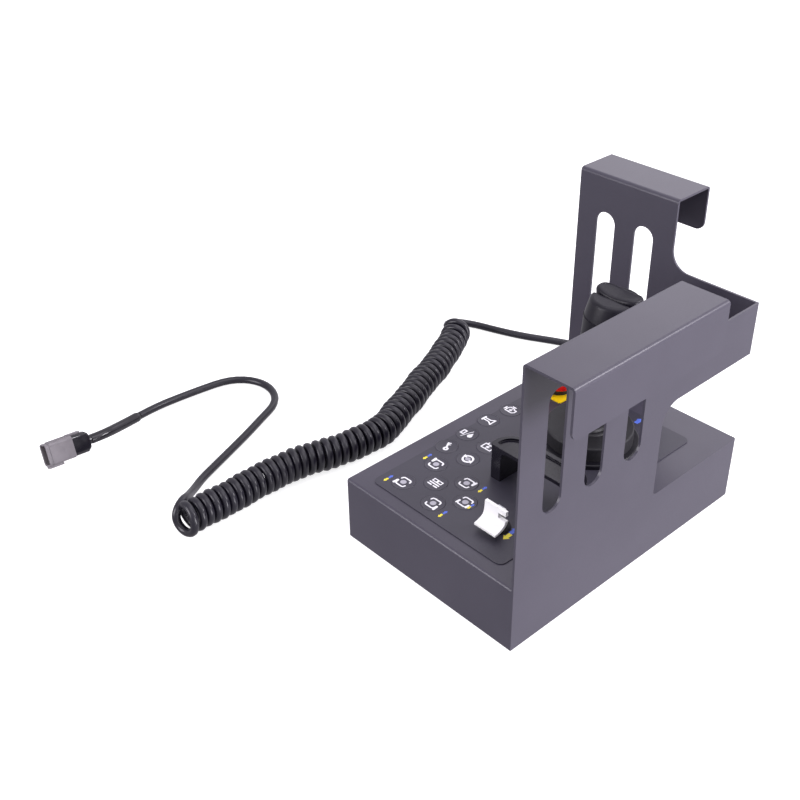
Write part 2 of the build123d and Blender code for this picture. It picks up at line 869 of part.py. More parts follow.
def estop_place():
    return place(estop_left, box_depth - estop_rear)


def estop_face():
    return overlay_top + estop_plate_thickness


def estop_plate():
    x, y = estop_place()
    half = estop_plate_side / 2
    plate = block(x - half, x + half, y - half, y + half, overlay_top, estop_face())
    plate = fillet(plate.edges().filter_by(Axis.Z), 3.0)
    return plate - post(x, y, overlay_top - 1, estop_face() + 1, estop_sleeve_radius + gland_hole_gap)


def estop_collar():
    x, y = estop_place()
    face = estop_face()
    collar = post(x, y, face, face + estop_collar_height, estop_collar_radius)
    collar = chamfer(collar.edges().group_by(Axis.Z)[-1], 1.0)
    collar += post(x, y, face - estop_sleeve_length, face, estop_sleeve_radius)
    return collar - post(x, y, face - estop_sleeve_length - 1, face + estop_collar_height + 1,
                         estop_stem_radius + estop_stem_fit)


def estop_stem():
    x, y = estop_place()
    face = estop_face()
    low = face - estop_sleeve_length - 1.0
    return post(x, y, low, face + estop_head_lift + estop_recess_depth, estop_stem_radius)


def estop_head():
    """Mushroom head, hollow below so that it passes over the collar when pushed."""
    x, y = estop_place()
    low = estop_face() + estop_head_lift
    high = low + estop_head_height
    head = post(x, y, low, high, estop_head_radius)
    head = fillet(head.edges().group_by(Axis.Z)[-1], 6.5)
    head = fillet(head.edges().group_by(Axis.Z)[0], 1.0)
    recess = estop_recess_depth
    return head - post(x, y, low - 1, low + recess, estop_collar_radius + 0.6)


def estop_contacts():
    """The contact block, clipped under the sleeve, with room for the stem's travel."""
    x, y = estop_place()
    top = estop_face() - estop_sleeve_length
    half = estop_block_side / 2
    low = top - estop_travel - 2.0
    body = block(x - half, x + half, y - half, y + half, top - estop_block_height, top)
    body -= post(x, y, low, top + 1, estop_stem_radius + 1.0)
    bottom = top - estop_block_height
    for side in (-1, 1):
        middle = y + side * estop_terminal_reach
        body += block(x - half / 2, x + half / 2, middle - 2, middle + 2, bottom - estop_terminal_length, bottom)
    return body


# Toggle switch

def toggle_place():
    return place(toggle_left, toggle_front)


def toggle_body():
    x, y = toggle_place()
    w, d = toggle_body_width / 2, toggle_body_length / 2
    top = roof_low - toggle_nut_height
    low = top - toggle_body_height
    body = block(x - w, x + w, y - d, y + d, low, top)
    body += post(x, y, top, overlay_top, toggle_bush_radius)
    for n in (-1, 0, 1):
        middle = y + n * toggle_terminal_pitch
        body += block(x - 3, x + 3, middle - 0.5, middle + 0.5, low - toggle_terminal_length, low)
    half_x = lever_width / 2 + lever_gap
    half_y = lever_thickness / 2 + lever_gap + lever_swing(0)
    floor = toggle_pivot_z - lever_thickness
    body -= block(x - half_x, x + half_x, y - half_y, y + half_y, floor, overlay_top + 1)
    pin = toggle_bush_radius + 1
    return body - rod_x(x - pin, x + pin, y, toggle_pivot_z, lever_pin_radius + lever_pin_fit)


def lever_swing(height):
    """How far the toggle lever moves to each side at a height over the overlay."""
    return (height + toggle_pivot_drop) * math.tan(math.radians(toggle_tilt))


def toggle_boot():
    """A low rubber dome on the overlay, with a slit that the lever swings in."""
    x, y = toggle_place()
    boot = loft([
        Pos(x, y, overlay_top) * Circle(toggle_boot_radius),
        Pos(x, y, overlay_top + 0.35 * toggle_boot_height) * Circle(toggle_boot_radius - 1.2),
        Pos(x, y, overlay_top + 0.7 * toggle_boot_height) * Circle(0.62 * toggle_boot_radius),
        Pos(x, y, overlay_top + toggle_boot_height) * Circle(0.48 * toggle_boot_radius),
    ])
    half_x = lever_width / 2 + lever_gap
    half_y = lever_thickness / 2 + lever_gap + lever_swing(toggle_boot_height)
    high = overlay_top + toggle_boot_height + 1
    return boot - block(x - half_x, x + half_x, y - half_y, y + half_y, overlay_top - 1, high)


def toggle_lever():
    x, y = toggle_place()
    w, t = lever_width / 2, lever_thickness / 2
    lever = block(x - w, x + w, y - t, y + t, toggle_pivot_z, overlay_top + lever_height)
    lever += rod_x(x - w, x + w, y, toggle_pivot_z, t)
    half = lever_pin_length / 2
    return lever + rod_x(x - half, x + half, y, toggle_pivot_z, lever_pin_radius)


def toggle_paddle():
    """The white paddle: a thin blade with a curved toe, a socket for the lever and a notch at its right."""
    x, y = toggle_place()
    half = paddle_width / 2
    top, front = paddle_height, -paddle_front
    waist = (-paddle_waist_front, paddle_waist)
    toe_top = (-paddle_toe, paddle_low + paddle_toe_edge)
    toe_low = (-paddle_toe, paddle_low)
    face = make_face([
        Polyline((front + paddle_wall, paddle_waist), (front + paddle_wall, top), (front, top), waist),
        Spline(waist, (-0.62 * paddle_toe, paddle_waist - 4.6), toe_top),
        Line(toe_top, toe_low),
        Spline(toe_low, (-0.56 * paddle_toe, paddle_waist - 7.4), (front + paddle_wall, paddle_waist)),
    ])
    solid = Pos(x - half, y, overlay_top) * extrude(Plane.YZ * face, amount=paddle_width)
    socket = paddle_socket_width / 2
    solid += block(x - socket, x + socket, y + front + paddle_wall / 2, y + paddle_socket_rear,
                   overlay_top + paddle_socket_low, overlay_top + top)
    w, t = lever_width / 2, lever_thickness / 2
    solid -= block(x - w, x + w, y - t, y + t, overlay_top, overlay_top + lever_height)
    low = overlay_top + paddle_notch_low
    return solid - block(x + half - paddle_notch_width, x + half + 1, y - paddle_toe, y - t - paddle_wall / 8,
                         low, low + paddle_notch_height)


# Joystick guard

def joystick_guard():
    """A moulded arch: a thin deck with a pocket in its top, on two rounded legs."""
    x0, y0 = place(guard_left, guard_front)
    x1, y1 = place(box_width - guard_right, guard_front + guard_depth)
    low, high = overlay_top, overlay_top + guard_height
    under = high - guard_deck
    arch = block(x0, x1, y0, y1, low, high)
    arch = fillet(edges_near(arch, Axis.Z, y=y0), guard_near_corner)
    arch = fillet(edges_near(arch, Axis.Z, y=y1), guard_far_corner)
    arch = fillet(arch.edges().group_by(Axis.Z)[-1], guard_edge)
    inner0, inner1 = x0 + guard_leg, x1 - guard_leg
    opening = block(inner0, inner1, y0 - 1, y1 + 1, low - 1, under)
    upper = edges_near(opening, Axis.Y, x=inner0, z=under) + edges_near(opening, Axis.Y, x=inner1, z=under)
    arch -= fillet(upper, guard_inner_corner)
    front = y0 + guard_pocket_front
    pocket = block(x0 + guard_pocket_inset, x1 - guard_pocket_inset, front, front + guard_pocket_width,
                   high - guard_pocket_depth, high + 1)
    arch -= fillet(pocket.edges().filter_by(Axis.Z), 0.48 * guard_pocket_width)
    for x, y in guard_screw_places():
        arch -= post(x, y, low - 1, low + guard_screw_length, screw_radius + screw_clearance)
    return arch


def guard_screws():
    reach = housing_wall + overlay_thickness + guard_screw_length - screw_end_gap
    return [machine_screw(x, y, roof_low, reach) for x, y in guard_screw_places()]


# Cable gland

def gland_frame():
    """The gland's frame: z points out of the rear wall, and z = 0 is the wall's outer face."""
    gx, gy = place(gland_left, box_depth)
    return Plane(origin=(gx, gy, gland_height), x_dir=(1, 0, 0), z_dir=(0, 1, 0))


def along_gland(z0, z1, radius):
    return gland_frame() * Pos(0, 0, (z0 + z1) / 2) * Cylinder(radius, z1 - z0)


def gland_hexagon(z0, z1, radius):
    return gland_frame() * Pos(0, 0, z0) * extrude(RegularPolygon(radius, 6), z1 - z0)


def cable_gland():
    body = along_gland(-plate_wall - gland_inside_length, 0, gland_thread_radius)
    body += gland_hexagon(0, gland_hex_height, gland_hex_radius)
    neck = gland_hex_height + gland_neck_length
    body += along_gland(gland_hex_height, neck, gland_dome_radius - 1.5)
    return body - along_gland(-plate_wall - gland_inside_length - 1, neck + 1, cable_radius + cable_fit)


def gland_cap():
    """The gland's cap, with a tapered tail that keeps the lead from kinking."""
    low = gland_hex_height + gland_neck_length
    high = gland_hex_height + gland_dome_length
    end = high + gland_tail_length
    ring = along_gland(low, high, gland_dome_radius)
    ring = fillet(ring.edges().group_by(Axis.Y)[-1], 2.5)
    middle = Pos(0, 0, high + gland_tail_length / 2)
    ring += gland_frame() * middle * Cone(gland_tail_radius, gland_tail_end_radius, gland_tail_length)
    ring -= along_gland(low - 1, high - gland_neck_length, cable_radius + cable_fit)
    return ring - along_gland(high, end + 1, cable_radius + cable_fit)


def panel_nuts():
    """The nuts that hold the emergency stop, the toggle switch and the gland in their holes."""
    ex, ey = estop_place()
    estop = hexagon(ex, ey, roof_low - estop_nut_height, roof_low, estop_nut_radius)
    estop -= post(ex, ey, roof_low - estop_nut_height - 1, roof_low + 1, estop_sleeve_radius + screw_clearance)
    tx, ty = toggle_place()
    toggle = hexagon(tx, ty, roof_low - toggle_nut_height, roof_low, toggle_nut_radius)
    toggle -= post(tx, ty, roof_low - toggle_nut_height - 1, roof_low + 1, toggle_bush_radius + screw_clearance)
    low = -plate_wall - gland_nut_height
    gland = gland_hexagon(low, -plate_wall, gland_nut_radius)
    gland -= along_gland(low - 1, -plate_wall + 1, gland_thread_radius + screw_clearance)
    return [estop, toggle, gland]


# Cord. Its points are measured from the box's front left corner, on the floor that the box stands on.

lead_points = [
    (64.0, 372.0, 37.0), (64.0, 404.0, 37.0), (52.0, 441.0, 22.0), (22.0, 474.0, 6.0),
    (-30.0, 490.0, 4.75), (-75.0, 477.0, 4.75), (-115.0, 458.0, 4.75), (-154.0, 432.0, 5.5),
    (-179.0, 401.0, 16.0), (-197.0, 387.0, 29.0), (-215.0, 374.0, 33.0),
]
coil_points = [
    (-119.0, -126.0, 19.0), (-120.0, -85.0, 19.0), (-119.5, -40.0, 19.0), (-122.0, 4.0, 19.0),
    (-111.0, 52.0, 19.0), (-99.0, 98.0, 19.0), (-100.0, 143.0, 19.0), (-121.0, 190.0, 19.0),
    (-141.0, 238.0, 19.0), (-160.0, 283.0, 19.0), (-181.0, 329.0, 19.0), (-218.0, 385.0, 19.0),
]
tail_points = [
    (-129.0, -120.0, 25.0), (-145.0, -112.5, 15.0), (-162.0, -98.0, 5.5), (-180.0, -75.0, 4.75),
    (-194.0, -44.0, 4.75), (-206.0, -9.0, 4.75), (-221.0, 28.0, 4.75), (-237.0, 63.0, 4.75),
    (-249.0, 91.0, 4.75), (-270.0, 107.5, 4.75), (-296.5, 111.5, 4.75), (-321.0, 101.5, 4.75),
    (-337.5, 80.0, 4.75), (-342.5, 44.5, 4.75), (-346.0, 8.0, 4.75), (-345.5, -22.0, 6.0),
    (-340.0, -48.0, 8.0),
]
sleeve_points = [(-340.0, -48.0, 8.0), (-334.5, -74.0, 10.0), (-325.1, -103.0, 15.5), (-326.8, -120.0, 15.5)]


def tube(points, radius, name):
    """A round tube along straight runs joined by the largest arcs that the runs allow."""
    path_points = [Vector(*place(u, v), z) for u, v, z in points]
    radii = []
    for before, corner, after in zip(path_points, path_points[1:], path_points[2:]):
        run_in, run_out = corner - before, after - corner
        half_turn = math.radians(run_in.get_angle(run_out)) / 2
        radii.append(0.45 * min(run_in.length, run_out.length) / math.tan(half_turn))
    path = FilletPolyline(*path_points, radius=radii)
    section = Plane(origin=path @ 0, z_dir=path % 0) * Circle(radius)
    solid = sweep(section, path=path)
    ratio = solid.volume / (math.pi * radius ** 2 * path.length)
    print(name, round(path.length, 1), "long, smallest radius", round(min(radii), 1), "ratio", round(ratio, 4))
    return solid


def cord_lead():
    return tube(lead_points, cable_radius, "cord_lead")


def cord_coil():
    return tube(coil_points, coil_radius, "cord_coil")


def cord_tail():
    return tube(tail_points, cable_radius, "cord_tail")


def cord_sleeve():
    return tube(sleeve_points, sleeve_radius, "cord_sleeve")


# Plug. Its own frame has z from the cable towards the mouth, and x along the shell's narrow side.

def plug_frame():
    before, end = [Vector(*place(u, v), z) for u, v, z in sleeve_points[-2:]]
    forward = (end - before).normalized()
    level = forward.cross(Vector(0, 0, 1))
    return Plane(origin=end, x_dir=level.rotate(Axis((0, 0, 0), forward), plug_roll), z_dir=forward)


def plug_block(wide, tall, z0, z1, corner):
    return plug_frame() * Pos(0, 0, z0) * extrude(RectangleRounded(wide, tall, corner), z1 - z0)


def plug_backshell():
    neck = plug_frame() * Pos(0, 0, 2) * Cylinder(sleeve_radius - 0.5, 4)
    body = plug_block(backshell_wide, backshell_tall, 4, backshell_length, shell_corner)
    body = fillet(body.faces().sort_by(plug_axis())[0].edges(), 2.0)
    return body + neck


def plug_axis():
    frame = plug_frame()
    return Axis(frame.origin, frame.z_dir)


def plug_shell():
    low, high = backshell_length, backshell_length + shell_length
    body = plug_block(shell_wide, shell_tall, low, high, shell_corner)
    latch = plug_frame() * Pos(0, -shell_tall / 2 - latch_height / 2 + 0.6, high - latch_length / 2)
    body += latch * Box(latch_width, latch_height + 1.2, latch_length)
    wide, tall = shell_wide - 2 * shell_wall, shell_tall - 2 * shell_wall
    return body - plug_block(wide, tall, high - shell_depth, high + 1, shell_corner - shell_wall)


def plug_contacts():
    """Two rows of pins that stand in the shell's mouth."""
    low = backshell_length + shell_length - shell_depth
    pins = []
    for side in (-1, 1):
        for n in range(4):
            spot = Pos(side * 2.6, (n - 1.5) * 5.2, low + contact_length / 2)
            pins.append(plug_frame() * spot * Cylinder(contact_radius, contact_length))
    return pins


# Controller board and wiring

def controller_corners():
    u0, v0 = controller_left + controller_inset, controller_front + controller_inset
    u1 = controller_left + controller_width - controller_inset
    v1 = controller_front + controller_depth - controller_inset
    return [place(u, v) for u in (u0, u1) for v in (v0, v1)]


def header_place():
    left = controller_left + 2 * controller_inset
    rear = controller_front + controller_depth - controller_inset
    return place(left + header_width / 2, rear - header_depth / 2)


def controller_board():
    x0, y0 = place(controller_left, controller_front)
    low, high = controller_height, controller_height + circuit_board_thickness
    board = block(x0, x0 + controller_width, y0, y0 + controller_depth, low, high)
    hx, hy = header_place()
    half_x, half_y = header_width / 2, header_depth / 2
    board += block(hx - half_x, hx + half_x, hy - half_y, hy + half_y, high, high + header_height)
    cx, cy = x0 + chip_left, y0 + chip_front
    board += block(cx, cx + chip_side, cy, cy + chip_side, high, high + chip_height)
    for n in range(capacitor_count):
        x, y = x0 + capacitor_left + n * capacitor_pitch, y0 + capacitor_front
        board += post(x, y, high, high + capacitor_height, capacitor_radius)
    for x, y in controller_corners():
        board -= post(x, y, low - 1, high + 1, post_stud_radius + post_hole_gap)
    return board


def wire_harness():
    hx, hy = header_place()
    entry, hv = hx - left_x - harness_entry_side, hy - front_y
    inside = box_depth - plate_wall - gland_inside_length
    top = controller_height + circuit_board_thickness + header_height / 2
    drop = inside - harness_straight - harness_drop
    points = [(gland_left, inside, gland_height), (gland_left, inside - harness_straight, gland_height),
              (gland_left, drop, harness_drop_height), (gland_left, drop - harness_run, harness_low_height),
              (gland_left + harness_sway, hv + harness_rise, harness_rise_height),
              (entry, hv + harness_entry, top), (entry, hv + header_depth / 2, top)]
    return tube(points, harness_radius, "wire_harness")


makers = {
    "housing_shell": housing_shell,
    "side_plate": side_plate,
    "rear_plate": rear_plate,
    "bottom_cover": bottom_cover,
    "cover_gasket": cover_gasket,
    "cover_screws": cover_screws,
    "rivet_nuts": rivet_nuts,
    "keypad_overlay": keypad_overlay,
    "keypad_board": keypad_board,
    "key_switches": key_switches,
    "board_supports": board_supports,
    "joystick_flange": joystick_flange,
    "flange_screws": flange_screws,
    "boot_ring": boot_ring,
    "boot_dome": boot_dome,
    "joystick_housing": joystick_housing,
    "pivot_axle": pivot_axle,
    "joystick_shaft": joystick_shaft,
    "centring_spring": centring_spring,
    "grip_body": grip_body,
    "grip_head": grip_head,
    "thumb_rocker": thumb_rocker,
    "enable_trigger": enable_trigger,
    "grip_pins": grip_pins,
    "estop_plate": estop_plate,
    "estop_collar": estop_collar,
    "estop_stem": estop_stem,
    "estop_head": estop_head,
    "estop_contacts": estop_contacts,
    "toggle_body": toggle_body,
    "toggle_boot": toggle_boot,
    "toggle_lever": toggle_lever,
    "toggle_paddle": toggle_paddle,
    "joystick_guard": joystick_guard,
    "guard_screws": guard_screws,
    "cable_gland": cable_gland,
    "gland_cap": gland_cap,
    "cord_lead": cord_lead,
    "cord_coil": cord_coil,
    "cord_tail": cord_tail,
    "cord_sleeve": cord_sleeve,
    "plug_backshell": plug_backshell,
    "plug_shell": plug_shell,
    "plug_contacts": plug_contacts,
    "panel_nuts": panel_nuts,
    "controller_board": controller_board,
    "wire_harness": wire_harness,
}


def write(name, made):
    os.makedirs("parts", exist_ok=True)
    shape = Compound(children=list(made)) if isinstance(made, list) else made
    export_step(shape, f"parts/{name}.step")


for node, maker in makers.items():
    write(node, maker())
for node, spot in key_places.items():
    write(node, key(spot))
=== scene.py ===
import json
import math

import bmesh
import bpy
from mathutils import Matrix, Vector

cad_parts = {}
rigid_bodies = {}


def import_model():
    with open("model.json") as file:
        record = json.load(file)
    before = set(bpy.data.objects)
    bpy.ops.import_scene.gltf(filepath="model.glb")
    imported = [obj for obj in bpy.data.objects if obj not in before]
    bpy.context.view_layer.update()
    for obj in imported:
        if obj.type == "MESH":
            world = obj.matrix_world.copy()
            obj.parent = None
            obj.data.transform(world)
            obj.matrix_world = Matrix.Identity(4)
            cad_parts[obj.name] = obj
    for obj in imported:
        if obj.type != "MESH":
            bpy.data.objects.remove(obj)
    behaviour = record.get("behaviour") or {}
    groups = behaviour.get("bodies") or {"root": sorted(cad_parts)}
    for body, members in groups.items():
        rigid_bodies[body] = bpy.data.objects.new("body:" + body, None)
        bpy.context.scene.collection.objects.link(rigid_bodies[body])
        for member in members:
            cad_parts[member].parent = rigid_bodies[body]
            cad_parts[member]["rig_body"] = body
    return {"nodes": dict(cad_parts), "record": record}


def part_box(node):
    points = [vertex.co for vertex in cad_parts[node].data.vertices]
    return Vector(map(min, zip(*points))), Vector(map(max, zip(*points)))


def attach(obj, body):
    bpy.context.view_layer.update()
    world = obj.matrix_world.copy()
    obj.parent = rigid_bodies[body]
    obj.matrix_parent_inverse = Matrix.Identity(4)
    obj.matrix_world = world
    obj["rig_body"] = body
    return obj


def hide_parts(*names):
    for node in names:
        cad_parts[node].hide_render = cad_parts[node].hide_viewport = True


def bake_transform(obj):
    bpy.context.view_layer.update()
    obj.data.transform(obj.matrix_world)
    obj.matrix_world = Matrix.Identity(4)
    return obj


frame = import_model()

# Operator's control box of a work platform. Points are in metres, and mm turns millimetres into metres.
# Places on the panel are measured in millimetres from the box's front left corner: u to the right, v away.

mm = 0.001
up = Vector((0, 0, 1))
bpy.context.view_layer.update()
nodes = frame["nodes"]
box_width = 235.0
box_depth = 350.0
overlay_top = 76.0
key_face = 76.2
lever_u = 129.0
lever_v = 232.0


def corner(u, v, z):
    """A place in millimetres from the box's front left corner, as a point of the frame."""
    return Vector(((u - box_width / 2) * mm, (v - box_depth / 2) * mm, z * mm))


def panel_box(name):
    """A solid's box in the panel's millimetres: left, right, front and rear."""
    low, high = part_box(name)
    left, right = (point[0] / mm + box_width / 2 for point in (low, high))
    front, rear = (point[1] / mm + box_depth / 2 for point in (low, high))
    return left, right, front, rear


# Camera and light

camera_azimuth = 48.10
camera_elevation = 33.29
camera_roll = -0.986
camera_distance = 1034.9
camera_target = (104.42, -16.79, 228.54)
focal_length = 52.04
sensor_width = 36
lamp_white = (0.97, 0.94, 1.0)
studio_white = (0.96, 0.93, 1.0, 1.0)
bright_side = (0.50, 0.72, 0.48)
dimmest_wall = 0.5
brightest_wall = 1.2


def make_camera():
    """A camera over the operator's right shoulder, level but for a slight roll."""
    azimuth, elevation, roll = (math.radians(a) for a in (camera_azimuth, camera_elevation, camera_roll))
    flat = math.cos(elevation)
    back = Vector((math.sin(azimuth) * flat, -math.cos(azimuth) * flat, math.sin(elevation)))
    level = Vector((math.cos(azimuth), math.sin(azimuth), 0))
    rise = back.cross(level)
    right = level * math.cos(roll) + rise * math.sin(roll)
    top = rise * math.cos(roll) - level * math.sin(roll)
    place = corner(*camera_target) + back * camera_distance * mm
    data = bpy.data.cameras.new("camera")
    data.sensor_width = sensor_width
    data.lens = focal_length
    data.clip_start = 10 * mm
    camera = bpy.data.objects.new("camera", data)
    camera.matrix_world = Matrix.Translation(place) @ Matrix((right, top, back)).transposed().to_4x4()
    bpy.context.collection.objects.link(camera)
    bpy.context.scene.camera = camera


def soft_light(name, place, aim, side, watts):
    """A large square diffuser that faces the point it is aimed at. Places and its side are in metres."""
    data = bpy.data.lights.new(name, "AREA")
    data.shape = "SQUARE"
    data.size = side
    data.energy = watts
    data.color = lamp_white
    lamp = bpy.data.objects.new(name, data)
    lamp.location = place
    lamp.rotation_euler = (Vector(aim) - Vector(place)).to_track_quat("-Z", "Y").to_euler()
    bpy.context.collection.objects.link(lamp)


def make_light():
    """A white studio, brighter to the rear right, with soft boxes over the panel and about the box."""
    world = bpy.data.worlds.new("studio")
    world.use_nodes = True
    tree = world.node_tree
    background = tree.nodes["Background"]
    background.inputs["Color"].default_value = studio_white
    direction = node(tree, "TexCoord").outputs["Generated"]
    facing = node(tree, "VectorMath", {"operation": "DOT_PRODUCT"}, {"Vector": direction})
    facing.inputs[1].default_value = bright_side
    strength = node(tree, "MapRange",
                    {"From Min": -1.0, "From Max": 1.0, "To Min": dimmest_wall, "To Max": brightest_wall},
                    {"Value": facing.outputs["Value"]})
    tree.links.new(strength.outputs["Result"], background.inputs["Strength"])
    bpy.context.scene.world = world
    bpy.context.scene.view_settings.view_transform = "Standard"
    soft_light("overhead", place=(0.0, 0.15, 1.55), aim=(0, 0.05, 0), side=1.2, watts=7)
    soft_light("right", place=(1.7, 0.1, 0.3), aim=(0, 0, 0.1), side=1.0, watts=36)
    soft_light("front", place=(-0.6, -1.4, 0.5), aim=(0, 0, 0.1), side=0.8, watts=13)
    # The last two draw light lines along the bends.
    soft_light("rear_left", place=(-0.55, 1.1, 0.9), aim=(0, 0, 0.1), side=0.7, watts=1.7)
    soft_light("rear_right", place=(1.2, 1.2, 1.4), aim=(0, 0, 0.15), side=0.35, watts=16)


# Materials

def linear(hex_colour):
    """An sRGB hex value as linear red, green, blue and alpha."""
    def channel(value):
        value /= 255
        return value / 12.92 if value <= 0.04045 else ((value + 0.055) / 1.055) ** 2.4
    return [channel(int(hex_colour[i:i + 2], 16)) for i in (1, 3, 5)] + [1.0]


def node(tree, kind, settings=None, links=None):
    """Adds a shader node with its properties and unlinked sockets, and the sources of its linked inputs."""
    made = tree.nodes.new("ShaderNode" + kind)
    for name, value in (settings or {}).items():
        if name in made.inputs:
            made.inputs[name].default_value = value
        else:
            setattr(made, name, value)
    for name, source in (links or {}).items():
        tree.links.new(source, made.inputs[name])
    return made


def pattern_scale(size_in_mm):
    """The scale of a noise whose grain has this size."""
    return 1 / (size_in_mm * mm)


def new_material(name):
    material = bpy.data.materials.new(name)
    material.use_nodes = True
    tree = material.node_tree
    shader = tree.nodes["Principled BSDF"]
    return material, tree, shader


def surface(name, colours, roughness, grain=1.5, relief=0.02, patch=40.0,
            metallic=0.0, ior=1.5, coat=0.0, spread=0.06):
    """A material with two colours in soft patches, a fine relief and an uneven gloss.

    grain and patch are the sizes of the relief's and the colour's cells in millimetres, relief is its
    depth, and spread is how far the roughness strays to either side.
    """
    material, tree, shader = new_material(name)
    shader.inputs["Metallic"].default_value = metallic
    if not metallic:
        shader.inputs["IOR"].default_value = ior
    shader.inputs["Coat Weight"].default_value = coat
    shader.inputs["Coat Roughness"].default_value = 0.12
    place = node(tree, "TexCoord").outputs["Object"]

    cloud = node(tree, "TexNoise", {"Scale": pattern_scale(patch), "Detail": 4.0, "Roughness": 0.6},
                 {"Vector": place})
    blend = node(tree, "ValToRGB", links={"Fac": cloud.outputs["Fac"]})
    for stop, position, colour in zip(blend.color_ramp.elements, (0.35, 0.65), colours):
        stop.position = position
        stop.color = linear(colour)
    tree.links.new(blend.outputs["Color"], shader.inputs["Base Color"])

    fine = node(tree, "TexNoise", {"Scale": pattern_scale(grain), "Detail": 3.0, "Roughness": 0.55},
                {"Vector": place})
    gloss = node(tree, "MapRange", {"To Min": roughness - spread, "To Max": roughness + spread},
                 {"Value": fine.outputs["Fac"]})
    tree.links.new(gloss.outputs["Result"], shader.inputs["Roughness"])
    bump = node(tree, "Bump", {"Strength": 0.6, "Distance": relief * mm}, {"Height": fine.outputs["Fac"]})
    tree.links.new(bump.outputs["Normal"], shader.inputs["Normal"])
    return material


def make_materials():
    """Each material by its common name. Grain too fine to show is drawn from 0.8 to 4 millimetres wide."""
    return {
        # Polyester powder coat, baked: a satin skin with orange peel, dark violet grey.
        "powder_coat": surface("powder_coated_steel", ("#3d3a46", "#413e4a"), 0.36,
                               grain=1.6, relief=0.03, patch=90),
        # Screen-printed polyester film: finely matt, a shade darker than the steel around it.
        "overlay_film": surface("printed_polyester_film", ("#34323d", "#36343f"), 0.46,
                                grain=0.9, relief=0.008, patch=70),
        # The same film, embossed over the keys: stretched a little smoother.
        "key_film": surface("embossed_polyester_key", ("#34323d", "#36343f"), 0.42,
                            grain=0.9, relief=0.006, patch=30),
        # ABS, moulded with a spark-eroded grain: an even, low gloss.
        "black_plastic": surface("moulded_black_abs", ("#121118", "#15141b"), 0.38,
                                 grain=1.0, relief=0.004, patch=25, ior=1.42),
        # ABS from a polished mould: nearly smooth, with sharper lights along its edges.
        "guard_plastic": surface("moulded_grey_abs", ("#121019", "#15131d"), 0.22,
                                 grain=2.0, relief=0.003, patch=30, ior=1.42),
        # Soft-touch grip: a fine grain that spreads the light.
        "grip_plastic": surface("soft_touch_grip", ("#121019", "#15131d"), 0.40,
                                grain=0.9, relief=0.006, patch=30, ior=1.38),
        # Natural rubber boot: dull and slightly dusty.
        "boot_rubber": surface("moulded_rubber", ("#17161a", "#1c1b20"), 0.55,
                               grain=1.4, relief=0.02, patch=18),
        # Polyurethane cable jacket, extruded: satin, with soft highlights.
        "cord_rubber": surface("polyurethane_jacket", ("#100e19", "#14121e"), 0.32,
                               grain=2.2, relief=0.02, patch=30),
        # Polyolefin sleeve, shrunk with hot air: smooth and glossier than the jacket.
        "sleeve_plastic": surface("heat_shrink_sleeve", ("#111017", "#15131b"), 0.2,
                                  grain=4.0, relief=0.004, patch=15, spread=0.03),
        # ABS, polished: a clear red under a thin gloss.
        "red_plastic": surface("polished_red_abs", ("#b3120e", "#bd1812"), 0.22,
                               grain=3.0, relief=0.01, patch=25, coat=0.3),
        # Printed plate behind the emergency stop: a flat warning yellow.
        "yellow_plastic": surface("printed_yellow_plate", ("#f0c80a", "#f5d014"), 0.4,
                                  grain=1.5, relief=0.01, patch=20),
        # Nylon, moulded: white with a soft gloss.
        "white_plastic": surface("moulded_white_nylon", ("#f1f1f0", "#f7f7f6"), 0.38,
                                 grain=1.4, relief=0.01, patch=20),
        # Nylon filled with glass, moulded: a matt, faintly mottled warm grey.
        "grey_plastic": surface("moulded_grey_nylon", ("#6c686c", "#757175"), 0.42,
                                grain=1.0, relief=0.015, patch=12),
        # Zinc plating: a grey metal with a faint cloudy gloss.
        "zinc_steel": surface("zinc_plated_steel", ("#a9abb0", "#b8babf"), 0.34,
                              grain=1.0, relief=0.01, patch=6, metallic=1.0),
        # Ground steel: brighter and evener than the plated parts.
        "bright_steel": surface("ground_steel", ("#b5b7bb", "#c3c5c9"), 0.25,
                                grain=0.8, relief=0.01, patch=8, metallic=1.0),
        # Turned brass: a warm yellow metal.
        "brass_pins": surface("turned_brass", ("#b9903c", "#c79d45"), 0.25,
                              grain=0.8, relief=0.01, patch=6, metallic=1.0),
        # Closed-cell foam: black, with open pores at its skin.
        "foam_rubber": surface("foam_gasket", ("#1a1a1c", "#242427"), 0.8,
                               grain=0.8, relief=0.2, patch=6),
        # Solder mask on glass-fibre board: a glossy dark green.
        "circuit_board": surface("solder_mask", ("#0f4a2a", "#12522f"), 0.3,
                                 grain=2.0, relief=0.01, patch=12),
        # Undyed nylon: a dull ivory.
        "nylon": surface("natural_nylon", ("#dcdad0", "#e4e2d8"), 0.45,
                         grain=1.0, relief=0.01, patch=10),
        # Screen inks: opaque, flat colours, as matt as the film under them.
        "white_ink": surface("white_screen_ink", ("#e9e9ee", "#f2f2f5"), 0.5,
                             grain=0.8, relief=0.01, patch=8),
        "grey_ink": surface("grey_screen_ink", ("#a5a3ad", "#adabb5"), 0.5,
                            grain=0.8, relief=0.01, patch=8),
        "yellow_ink": surface("yellow_screen_ink", ("#eedd3a", "#f3e348"), 0.5,
                              grain=0.8, relief=0.01, patch=8),
        "blue_ink": surface("blue_screen_ink", ("#4a63c8", "#5570d2"), 0.5,
                            grain=0.8, relief=0.01, patch=8),
    }


make_camera()
make_light()
materials = make_materials()


# Making meshes

def add_object(name, data, finish, body):
    """Puts a mesh or curve into the scene with its finish and lets it ride on a body."""
    made = bpy.data.objects.new(name, data)
    bpy.context.collection.objects.link(made)
    data.materials.append(materials[finish])
    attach(made, body)
    return made


